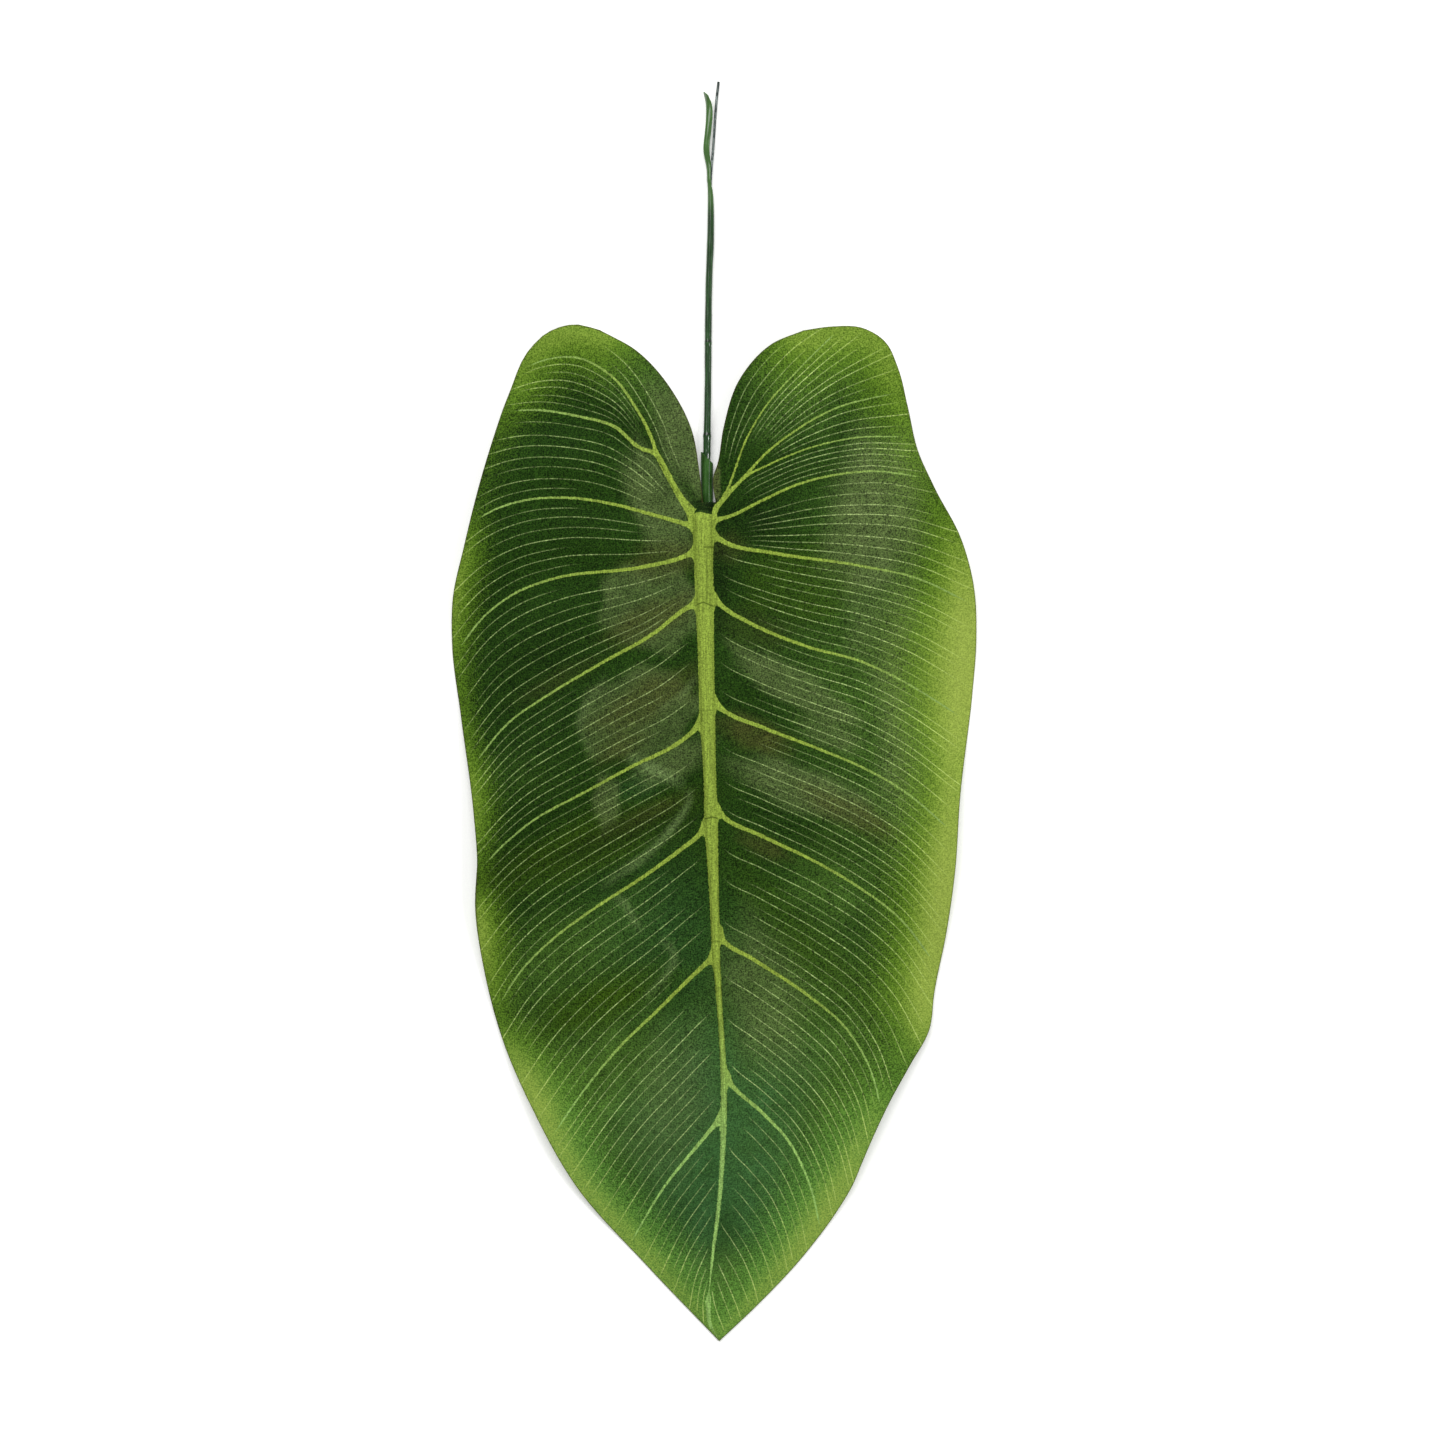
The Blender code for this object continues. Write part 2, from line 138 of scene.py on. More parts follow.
LEFT_VEINS = (
    Vein(2.5, ((-3.8, 71.5), (-5.0, 82.8), (-7.4, 95.9), (-13.9, 109.2), (-26.6, 123.6),
               (-38.9, 130.5)), "nnii", 2, (0.0, 0.0)),
    Vein(0.0, ((-6.3, 69.1), (-11.2, 74.3), (-16.0, 82.3), (-19.7, 89.0), (-21.0, 92.8),
               (-26.8, 104.1), (-34.9, 114.7), (-47.2, 121.2), (-59.4, 120.0),
               (-67.1, 115.8)), "mwSmwo", 2, (2.1, 0.4), 0.24),
    Vein(1.5, ((-7.5, 66.7), (-11.7, 73.6), (-16.2, 81.5), (-20.4, 88.3), (-24.8, 89.9),
               (-34.1, 97.5), (-45.5, 100.8), (-61.1, 103.2), (-72.5, 102.7)),
         "wmSmwmo", 3, (2.7, 0.45), 0.0, 0.6, 4),
    Vein(4.5, ((-7.4, 63.3), (-20.4, 67.1), (-35.2, 71.0), (-49.7, 73.0), (-64.3, 72.2),
               (-76.7, 68.1), (-83.3, 63.3)), "omwSoSo", 3),
    Vein(0.0, ((-7.4, 54.4), (-12.3, 52.1), (-25.2, 49.2), (-54.7, 45.4), (-66.8, 41.1),
               (-77.3, 33.8), (-89.2, 18.7)), "oSwSwmSm"),
    Vein(3.0, ((-6.8, 36.9), (-9.9, 34.8), (-20.4, 26.7), (-38.7, 16.3), (-57.1, 5.3),
               (-69.5, -3.3), (-84.5, -20.7)), "omSwSmwSmw"),
    Vein(6.0, ((-5.0, -3.9), (-8.1, -7.7), (-13.5, -11.7), (-25.7, -17.7), (-44.1, -27.6),
               (-62.6, -37.9), (-72.2, -46.0), (-80.8, -55.0)), "wmSmwSmwSo"),
    Vein(0.5, ((-3.6, -38.9), (-5.0, -42.0), (-10.5, -46.5), (-22.6, -55.4), (-41.0, -67.4),
               (-53.7, -76.7), (-65.3, -88.0), (-75.5, -103.4)), "wSmwmSwSmw"),
    Vein(3.5, ((-1.2, -83.9), (-7.0, -89.9), (-19.2, -102.0), (-31.4, -113.7),
               (-41.3, -125.4), (-56.4, -147.0)), "omwSwmSwmwSw"),
    Vein(0.0, ((1.9, -138.7), (-3.9, -146.3), (-16.3, -161.7), (-29.3, -183.3)), "wmwSwmwmwmw"),
    Vein(0.0, ((-1.9, -201.8), (-1.4, -208.7), (1.9, -215.9)), "", 2, (0.5, 0.3)),
)
RIGHT_VEINS = (
    Vein(2.0, ((0.4, 71.5), (-0.1, 76.0), (-0.1, 80.5), (1.2, 84.4), (3.3, 96.9), (8.7, 113.4),
               (19.7, 125.7), (30.7, 130.5)), "wmw", 2, (0.0, 0.0)),
    Vein(1.0, ((-0.1, 69.8), (2.6, 72.9), (4.5, 75.6), (6.3, 79.9), (10.7, 92.1),
               (17.3, 103.7), (29.0, 117.0), (44.1, 131.7)), "mSwmSmw", 2, (0.9, 0.4), 0.12),
    Vein(0.0, ((-0.1, 68.6), (3.1, 72.2), (5.3, 74.8), (11.6, 81.4), (16.6, 87.0),
               (28.3, 96.3), (40.6, 103.3), (65.3, 109.9)), "mSm", 2, (1.3, 0.4), 0.0, 0.4),
    Vein(1.5, ((-0.1, 67.9), (3.3, 71.6), (11.9, 80.9), (17.2, 83.6), (33.4, 90.3),
               (48.1, 93.6), (68.8, 94.1)), "mSmwm", 2, (0.8, 0.4), 0.24),
    Vein(4.5, ((-0.1, 65.2), (4.6, 66.4), (16.8, 72.2), (29.0, 77.7), (41.3, 80.8),
               (54.0, 82.1), (73.7, 79.4)), "owmSmSmS", 2, (1.3, 0.5), 0.0, 1.2),
    Vein(1.5, ((-0.2, 60.2), (4.6, 57.4), (18.7, 54.4), (50.6, 49.7), (68.8, 45.8),
               (89.3, 36.2)), "wSmwSmSww"),
    Vein(0.0, ((-0.2, 38.9), (2.6, 36.2), (13.8, 29.5), (32.1, 22.1), (50.6, 17.0),
               (62.6, 11.5), (87.3, -3.6)), "wmSmwSmwSw"),
    Vein(4.5, ((0.9, 2.9), (3.6, 0.2), (16.3, -5.3), (36.9, -13.2), (50.6, -19.0),
               (62.6, -25.6), (82.8, -42.7)), "wmwSmwmSmwS"),
    Vein(0.5, ((1.5, -33.4), (3.3, -35.8), (16.3, -42.4), (35.2, -51.5), (49.2, -59.8),
               (63.3, -70.5), (76.8, -88.3)), "omSwmSwmwSm"),
    Vein(4.0, ((1.9, -74.9), (2.9, -77.3), (13.4, -84.4), (31.7, -96.5), (44.6, -107.5),
               (53.0, -121.1), (58.1, -138.4)), "wmSwmwSmwmSw"),
    Vein(0.0, ((4.3, -124.3), (6.0, -127.1), (16.3, -136.7), (25.2, -146.3), (33.1, -162.7),
               (36.9, -178.9)), "wmwSmwmwSwmwm"),
    Vein(0.0, ((-1.9, -201.8), (-1.4, -208.7), (1.9, -215.9)), "", 2, (0.5, 0.3)),
)
LEFT_OUTLINE = (
    (-38.9, 130.5), (-47.5, 132.6), (-57.1, 129.8), (-63.6, 123.6), (-70.1, 109.2), (-77.0, 88.7),
    (-85.6, 55.7), (-89.3, 39.3), (-89.7, 22.8), (-86.6, -1.9), (-82.1, -34.8), (-80.8, -50.9),
    (-81.3, -67.7), (-78.7, -88.3), (-72.2, -113.0), (-61.2, -137.7), (-47.2, -162.4),
    (-21.8, -191.2), (1.9, -215.9),
)
RIGHT_OUTLINE = (
    (30.7, 130.5), (40.6, 131.9), (50.9, 131.5), (58.5, 127.1), (63.3, 117.5), (66.4, 105.1),
    (70.1, 88.7), (75.6, 76.3), (84.5, 59.5), (89.0, 43.4), (90.0, 24.5), (88.7, 6.3),
    (84.2, -30.7), (82.5, -55.4), (79.7, -76.0), (75.6, -96.5), (73.9, -108.9), (67.1, -121.2),
    (60.2, -133.6), (54.4, -145.9), (50.9, -154.2), (47.5, -162.4), (42.7, -170.6),
    (30.4, -187.1), (14.9, -203.6), (1.9, -215.9),
)
# The airbrushed margin down each side: place along Y, width and strength
LEFT_GLOW = (
    (133.0, 25.0, 0.68), (112.0, 22.0, 0.5), (98.0, 15.0, 0.3), (74.0, 12.0, 0.2),
    (52.0, 13.0, 0.58), (34.0, 13.0, 0.6), (14.0, 11.0, 0.42), (0.0, 10.0, 0.38),
    (-12.0, 10.0, 0.45), (-22.0, 12.0, 0.56), (-38.0, 12.0, 0.55), (-50.0, 10.0, 0.35),
    (-58.0, 10.0, 0.35), (-68.0, 14.0, 0.64), (-94.0, 15.0, 0.55),
    (-106.0, 14.0, 0.4), (-114.0, 18.0, 0.6), (-124.0, 23.0, 0.77), (-160.0, 22.0, 0.76),
    (-190.0, 22.0, 0.72), (-216.0, 16.0, 0.6),
)
RIGHT_GLOW = (
    (133.0, 30.0, 0.66), (112.0, 28.0, 0.57), (92.0, 22.0, 0.4), (74.0, 24.0, 0.37),
    (56.0, 30.0, 0.65), (30.0, 36.0, 0.97), (0.0, 35.0, 1.0), (-20.0, 30.0, 0.83),
    (-60.0, 28.0, 1.0), (-85.0, 28.0, 0.93), (-108.0, 28.0, 0.79), (-124.0, 26.0, 0.41),
    (-138.0, 27.0, 0.59), (-170.0, 28.0, 0.82), (-200.0, 22.0, 0.72), (-216.0, 16.0, 0.6),
)
PATCHES = {
    # Lighter print, and painted sheen where the cloth's folds catch the light.
    Tone.LIGHT: (
        Patch((60.0, -5.0), (25.0, 85.0), 5.0, 0.4, 0.7),
        Patch((-54.0, -85.0), (30.0, 12.0), 28.0, 0.42, 0.8),
        Patch((34.0, -124.0), (33.0, 44.0), 0.0, 0.6, 0.8),
        Patch((-35.0, -130.0), (27.0, 32.0), 0.0, 0.6, 0.8),
        Patch((-28.0, 117.0), (22.0, 10.0), 130.0, 0.45, 0.6),
        Patch((32.0, 111.0), (20.0, 14.0), 35.0, 0.48, 0.7),
        Patch((42.0, -60.0), (14.0, 14.0), -30.0, 0.45, 0.8),
        Patch((-46.0, -116.0), (15.0, 6.0), 25.0, 0.55, 0.8),
        Patch((-36.0, -134.0), (9.0, 4.0), 60.0, 0.95, 0.8),
        Patch((1.0, -200.0), (20.0, 16.0), 0.0, 0.9, 0.6),
        Patch((-68.0, -22.0), (14.0, 7.0), 0.0, 0.1, 0.8),
        Patch((-63.0, -108.0), (9.0, 5.0), 22.0, 0.4, 0.8),
    ),
    # Painted cool reflection on the cloth, strongest in the lower middle.
    Tone.COOL_REFLECTION: (
        Patch((2.0, -148.0), (28.0, 40.0), 0.0, 0.65, 0.6),
        Patch((-26.0, -26.0), (9.0, 4.5), 25.0, 0.2, 0.7),
        Patch((-14.0, -80.0), (22.0, 26.0), 20.0, 0.2, 0.8),
    ),
    # Painted shade, mostly in the troughs between the lower left veins.
    Tone.OLIVE_SHADE: (
        Patch((30.0, 44.0), (20.0, 13.0), 0.0, 0.5, 0.2),
        Patch((30.0, -78.0), (34.0, 7.0), -48.0, 0.4, 0.8),
        Patch((-46.0, -47.0), (38.0, 8.0), 22.0, 0.85, 0.7),
        Patch((-38.0, -99.0), (23.0, 7.0), 22.0, 0.85, 0.7),
    ),
    # The glue film behind the cloth and greyer print, with painted sheen on them.
    Tone.GREY_GLUE_AND_SHEEN: (
        Patch((56.0, 67.0), (15.0, 27.0), -10.0, 0.8, 0.5),
        Patch((54.0, 36.0), (9.0, 20.0), 0.0, 0.36, 0.5),
        Patch((66.0, 5.0), (10.0, 45.0), 0.0, 0.65, 0.6),
        Patch((28.0, 8.0), (24.0, 6.0), -31.0, 0.58, 0.3),
        Patch((32.0, -27.0), (25.0, 7.0), -20.0, 0.68, 0.4),
        Patch((40.0, -8.0), (10.0, 4.0), -20.0, 0.5, 0.6),
        Patch((17.0, -98.0), (12.0, 24.0), 15.0, 0.48, 0.6),
        Patch((-14.0, -132.0), (12.0, 22.0), -10.0, 0.35, 0.7),
        Patch((-21.0, 36.0), (18.0, 15.0), -14.0, 0.48, 0.12),
        Patch((-26.0, -1.0), (20.5, 15.0), 18.0, 0.43, 0.1),
        Patch((-14.0, -17.0), (13.0, 5.5), 28.0, 0.5, 0.5),
        Patch((-36.5, -31.0), (4.5, 9.0), 0.0, 0.55, 0.3),
        Patch((-19.0, 71.0), (20.0, 9.0), 113.0, 0.6, 0.35),
        Patch((-11.0, 94.0), (20.0, 7.0), 110.0, 0.7, 0.5),
        # Painted shade beside the sleeve at the notch, where the floor lies in shadow.
        Patch((0.8, 77.5), (1.4, 7.0), 0.0, 0.7, 0.4),
    ),
    Tone.BROWN: (
        Patch((-22.0, 31.0), (15.0, 5.0), 25.0, 0.62, 0.6),
        Patch((-22.0, 4.0), (18.0, 6.0), 28.0, 0.6, 0.6),
        Patch((-52.7, 11.0), (14.0, 3.0), 28.0, 0.3, 0.7),
        # Painted shade in the left trough.
        Patch((-24.0, -36.0), (16.0, 3.0), 25.0, 0.45, 0.7),
        Patch((14.0, 28.0), (12.0, 6.0), -15.0, 0.22, 0.6),
        Patch((14.0, -8.0), (12.0, 5.0), -20.0, 0.7, 0.6),
        Patch((47.0, -35.0), (18.0, 4.5), -27.0, 0.6, 0.6),
        Patch((17.0, -46.0), (9.0, 3.0), -25.0, 0.5, 0.6),
        Patch((-32.0, -12.0), (9.0, 4.0), 28.0, 0.45, 0.6),
        Patch((-17.0, 52.0), (12.0, 6.0), 10.0, 0.5, 0.6),
        Patch((5.0, 56.0), (6.0, 5.0), 0.0, 0.4, 0.6),
        # Painted shade beside the sleeve at the notch, where the floor lies in shadow.
        Patch((0.8, 77.5), (1.4, 7.0), 0.0, 0.5, 0.4),
    ),
    # Painted shade in the notch, beside the midrib's right edge and in the left troughs; the
    # second and last patches only darken the print.
    Tone.SHADE: (
        Patch((-2.2, 70.8), (4.2, 2.6), 0.0, 1.0, 0.3),
        Patch((12.0, 66.0), (16.0, 8.0), 10.0, 0.45, 0.7),
        Patch((2.2, 45.0), (3.0, 17.0), 0.0, 0.5, 0.6),
        Patch((-35.0, -43.5), (32.0, 4.5), 21.0, 0.52, 0.8),
        Patch((-62.0, -52.0), (20.0, 6.0), 14.0, 0.3, 0.7),
        Patch((-57.0, 12.0), (20.0, 26.0), 0.0, 0.25, 0.8),
    ),
}
# The pale edges of the glue behind the cloth: the route of each, its half width and its strength
GLUE_EDGES = (
    (((-36.5, 13.0), (-39.0, 8.0), (-43.0, 3.0), (-45.5, -2.0), (-45.0, -8.0), (-40.0, -15.0)),
     1.7, 0.18),
    (((-6.0, 12.0), (-8.5, 8.0), (-12.0, 4.0), (-20.0, 0.5)), 1.6, 0.34),
    (((-30.0, -15.5), (-20.0, -20.0), (-14.0, -23.0), (-9.5, -25.5)), 2.4, 0.45),
    (((-9.5, -25.5), (-8.2, -30.0), (-10.0, -34.0), (-13.0, -38.0), (-17.0, -43.0), (-22.0, -48.0),
      (-30.0, -54.0), (-39.0, -60.5)), 1.6, 0.42),
    (((-35.0, -62.0), (-30.5, -65.5), (-27.5, -70.5), (-24.5, -75.0)), 1.6, 0.35),
    (((-19.0, -77.5), (-14.5, -81.0), (-13.3, -84.0), (-15.0, -88.0), (-24.0, -98.0)), 1.6, 0.35),
)
# Each ink's strength, start and end, as shares of the way from the midrib to the margin
INK_RUNS = {
    Ink.STRONG: (1.0, 0.02, 1.0), Ink.MEDIUM: (0.8, 0.06, 0.96), Ink.WEAK: (0.55, 0.13, 0.86),
    Ink.OUTER: (0.65, 0.42, 1.0), Ink.INNER: (0.75, 0.07, 0.66), Ink.NONE: (0.0, 0.1, 0.9),
}
CREASES = (
    Crease(55.9, -4.0, 0.04, (-3.9, 0.6), 0.8),
    Crease(37.2, -3.7, -0.4, (-6.2, 0.2), 0.9),
    Crease(0.4, -2.0, -0.1, (-5.0, 0.5), 0.4),
    Crease(-36.0, -0.5, -0.25, (-3.6, 1.8), 0.9),
    Crease(-78.2, 0.6, -0.3, (-1.4, 2.4), 0.6),
)


def hermite(knots: np.ndarray, values: np.ndarray, at: np.ndarray) -> np.ndarray:
    """Values read from a smooth curve through the values at the knots.

    Args:
        knots: Rising places where the values are given.
        values: One value, or a row of them, at each knot.
        at: The places to read.

    Returns:
        The values there, shaped as the places are.
    """
    knots, values, at = (np.asarray(part, float) for part in (knots, values, at))
    flat = values.reshape(len(knots), -1)
    gaps = np.diff(knots)[:, None]
    steps = np.diff(flat, axis=0) / gaps
    slopes = np.concatenate((steps[:1], steps[:1], steps[1:]))
    slopes[1:-1] = (steps[:-1] * gaps[1:] + steps[1:] * gaps[:-1]) / (gaps[:-1] + gaps[1:])
    span = np.clip(np.searchsorted(knots, at, side="right") - 1, 0, len(gaps) - 1)
    gap = gaps[span]
    u = (at[..., None] - knots[span][..., None]) / gap
    start = (2 * u**3 - 3 * u**2 + 1) * flat[span] + (u**3 - 2 * u**2 + u) * gap * slopes[span]
    finish = (3 * u**2 - 2 * u**3) * flat[span + 1] + (u**3 - u**2) * gap * slopes[span + 1]
    return (start + finish).reshape(at.shape + values.shape[1:])


def along(points: tuple, fractions: np.ndarray) -> np.ndarray:
    """Points on a smooth curve through given points.

    Args:
        points: The points that the curve passes through.
        fractions: Shares of the curve's length, from 0 to 1.

    Returns:
        The curve's points at those shares.
    """
    points = np.asarray(points, float)
    chords = np.linalg.norm(np.diff(points, axis=0), axis=1)
    knots = np.concatenate(([0.0], np.cumsum(chords)))
    return hermite(knots, points, np.asarray(fractions) * knots[-1])


def down_leaf(table: tuple, y: np.ndarray) -> np.ndarray:
    """Values at places down the leaf.

    Args:
        table: Rows that start with their place along Y, from the stem to the tip.
        y: The places to read.

    Returns:
        One value, or a row of them, at each place.
    """
    rows = np.asarray(table, float)[::-1]
    values = rows[:, 1] if rows.shape[1] == 2 else rows[:, 1:]
    return hermite(rows[:, 0], values, np.clip(y, rows[0, 0], rows[-1, 0]))


def smooth_step(value: np.ndarray, low: float, high: float) -> np.ndarray:
    """A share that rises smoothly from 0 at low to 1 at high."""
    share = np.clip((value - low) / (high - low), 0.0, 1.0)
    return share * share * (3 - 2 * share)


def nearest_on(points: np.ndarray, line: np.ndarray) -> tuple:
    """The distance from each point to a line of points, and where along the line it is.

    Args:
        points: Points in X and Y.
        line: Points of the line, evenly spaced along it.

    Returns:
        Distances, and shares of the line's length.
    """
    best = np.full(len(points), np.inf)
    share = np.zeros(len(points))
    for index, (start, finish) in enumerate(zip(line, line[1:])):
        run = finish - start
        at = np.clip((points - start) @ run / max(run @ run, 1e-9), 0.0, 1.0)
        reach = np.linalg.norm(points - start - at[:, None] * run, axis=1)
        closer = reach < best
        best[closer] = reach[closer]
        share[closer] = (index + at[closer]) / (len(line) - 1)
    return best, share


def paint(code: str) -> tuple:
    """The shader's colour for an ordinary screen colour.

    Args:
        code: Its red, green and blue in hexadecimal, such as 4B6E2A.

    Returns:
        Linear red, green and blue, and 1 for opaque.
    """
    linear = []
    for index in (0, 2, 4):
        part = int(code[index:index + 2], 16) / 255
        linear.append(part / 12.92 if part <= 0.04045 else ((part + 0.055) / 1.055) ** 2.4)
    return (*linear, 1.0)


def ring_angles(sides: int) -> np.ndarray:
    """Angles round a ring, with the first again at the end."""
    return np.arange(sides + 1) * 2 * math.pi / sides


def tube(centres: np.ndarray, radius: float | np.ndarray, sides: int) -> np.ndarray:
    """Rings of points round a route.

    Args:
        centres: The route's points.
        radius: One radius, or one for each point.
        sides: The number of faces round a ring.

    Returns:
        A ring of points for each point of the route.
    """
    ahead = np.gradient(centres, axis=0)
    ahead /= np.linalg.norm(ahead, axis=1)[:, None]
    sideways = np.cross(ahead, (0.0, 0.0, 1.0))
    sideways /= np.linalg.norm(sideways, axis=1)[:, None]
    upward = np.cross(sideways, ahead)
    angles = ring_angles(sides)
    around = np.cos(angles)[None, :, None] * sideways[:, None]
    around = around + np.sin(angles)[None, :, None] * upward[:, None]
    return centres[:, None] + np.reshape(radius, (-1, 1, 1)) * around


class Graph:
    """The nodes of one material, laid out by short calls."""

    def __init__(self, name: str) -> None:
        """Start a material of that name with its plain shader."""
        self.material = bpy.data.materials.new(name)
        self.material.use_nodes = True
        self.tree = self.material.node_tree
        self.shader = self.tree.nodes["Principled BSDF"]

    def put(self, socket: Socket, value: object) -> None:
        """Link another node's socket into this one, or set its plain value.

        Args:
            socket: The socket to fill.
            value: Another node's socket, or a number, colour or vector.
        """
        if isinstance(value, Socket):
            self.tree.links.new(value, socket)
        else:
            socket.default_value = value

    def surface(self, **values: object) -> None:
        """Set sockets of the shader.

        Args:
            values: What each socket gets, by its name with _ for each space.
        """
        for name, value in values.items():
            self.put(self.shader.inputs[name.replace("_", " ")], value)

    def times(self, first: object, second: object) -> Socket:
        """The product of two values."""
        return self.math("MULTIPLY", first, second)

    def fit(self, value: object, factor: object, start: object) -> Socket:
        """A value times a factor, plus a start."""
        return self.math("MULTIPLY_ADD", value, factor, start)

    def off(self, value: object, place: object) -> Socket:
        """How far a value is from a place, either way."""
        return self.math("ABSOLUTE", self.math("SUBTRACT", value, place))

    def math(self, kind: str, *values: object) -> Socket:
        """The outcome of one sum.

        Args:
            kind: The sum, as the Math node names it.
            values: Up to three numbers or sockets.

        Returns:
            The outcome's socket.
        """
        node = self.tree.nodes.new("ShaderNodeMath")
        node.operation = kind
        for socket, value in zip(node.inputs, values):
            self.put(socket, value)
        return node.outputs[0]

    def rise(self, value: object, low: object, high: object) -> Socket:
        """A share that rises smoothly with a value.

        Args:
            value: The value.
            low: Where the share is 0.
            high: Where the share is 1, which may be lower than low.

        Returns:
            The share's socket.
        """
        node = self.tree.nodes.new("ShaderNodeMapRange")
        node.interpolation_type = "SMOOTHSTEP"
        for socket, item in zip(node.inputs, (value, low, high)):
            self.put(socket, item)
        return node.outputs[0]

    def mix(self, share: object, first: object, second: object) -> Socket:
        """A colour between two others.

        Args:
            share: How much of the second colour it has.
            first: The colour at a share of 0.
            second: The colour at a share of 1.

        Returns:
            The colour's socket.
        """
        node = self.tree.nodes.new("ShaderNodeMix")
        node.data_type = "RGBA"
        for index, item in ((0, share), (6, first), (7, second)):
            self.put(node.inputs[index], item)
        return node.outputs[2]

    def shade(self, colour: object, factor: object) -> Socket:
        """A colour made darker or lighter.

        Args:
            colour: The colour.
            factor: What it is multiplied by.

        Returns:
            The new colour's socket.
        """
        node = self.tree.nodes.new("ShaderNodeVectorMath")
        node.operation = "SCALE"
        self.put(node.inputs[0], colour[:3] if isinstance(colour, tuple) else colour)
        self.put(node.inputs["Scale"], factor)
        return node.outputs[0]

    def attribute(self, name: str) -> Socket:
        """A value stored on the piece's points.

        Args:
            name: The attribute's name.

        Returns:
            The value's socket.
        """
        node = self.tree.nodes.new("ShaderNodeAttribute")
        node.attribute_name = name
        return node.outputs["Fac"]

    def place(self) -> Socket:
        """The piece's own coordinates, in metres."""
        return self.tree.nodes.new("ShaderNodeTexCoord").outputs["Object"]

    def axis(self, name: str) -> Socket:
        """One of the piece's own coordinates, in millimetres.

        Args:
            name: X, Y or Z.

        Returns:
            The coordinate's socket.
        """
        node = self.tree.nodes.new("ShaderNodeSeparateXYZ")
        self.put(node.inputs[0], self.place())
        return self.times(node.outputs[name], 1 / MM)

    def noise(self, size: object, detail: float = 2.0, seed: float = 0.0) -> Socket:
        """Cloudy noise from 0 to 1.

        Args:
            size: The clouds' size in millimetres, or their sizes along X, Y and Z.
            detail: How many finer levels it has.
            seed: A number that picks another pattern.

        Returns:
            The noise's value.
        """
        sizes = size if isinstance(size, tuple) else (size, size, size)
        mapping = self.tree.nodes.new("ShaderNodeMapping")
        mapping.inputs["Location"].default_value = (seed, seed * 0.7, seed * 0.3)
        mapping.inputs["Scale"].default_value = tuple(1 / (part * MM) for part in sizes)
        self.put(mapping.inputs["Vector"], self.place())
        node = self.tree.nodes.new("ShaderNodeTexNoise")
        node.inputs["Scale"].default_value = 1.0
        node.inputs["Detail"].default_value = detail
        self.put(node.inputs["Vector"], mapping.outputs[0])
        return node.outputs["Fac"]

    def bump(self, height: object, depth: float, strength: float = 1.0) -> Socket:
        """A surface direction roughened by a height.

        Args:
            height: The height's socket.
            depth: How deep a height of 1 is, in millimetres.
            strength: How much of it shows.

        Returns:
            The direction's socket.
        """
        node = self.tree.nodes.new("ShaderNodeBump")
        node.inputs["Strength"].default_value = strength
        node.inputs["Distance"].default_value = depth * MM
        self.put(node.inputs["Height"], height)
        return node.outputs[0]


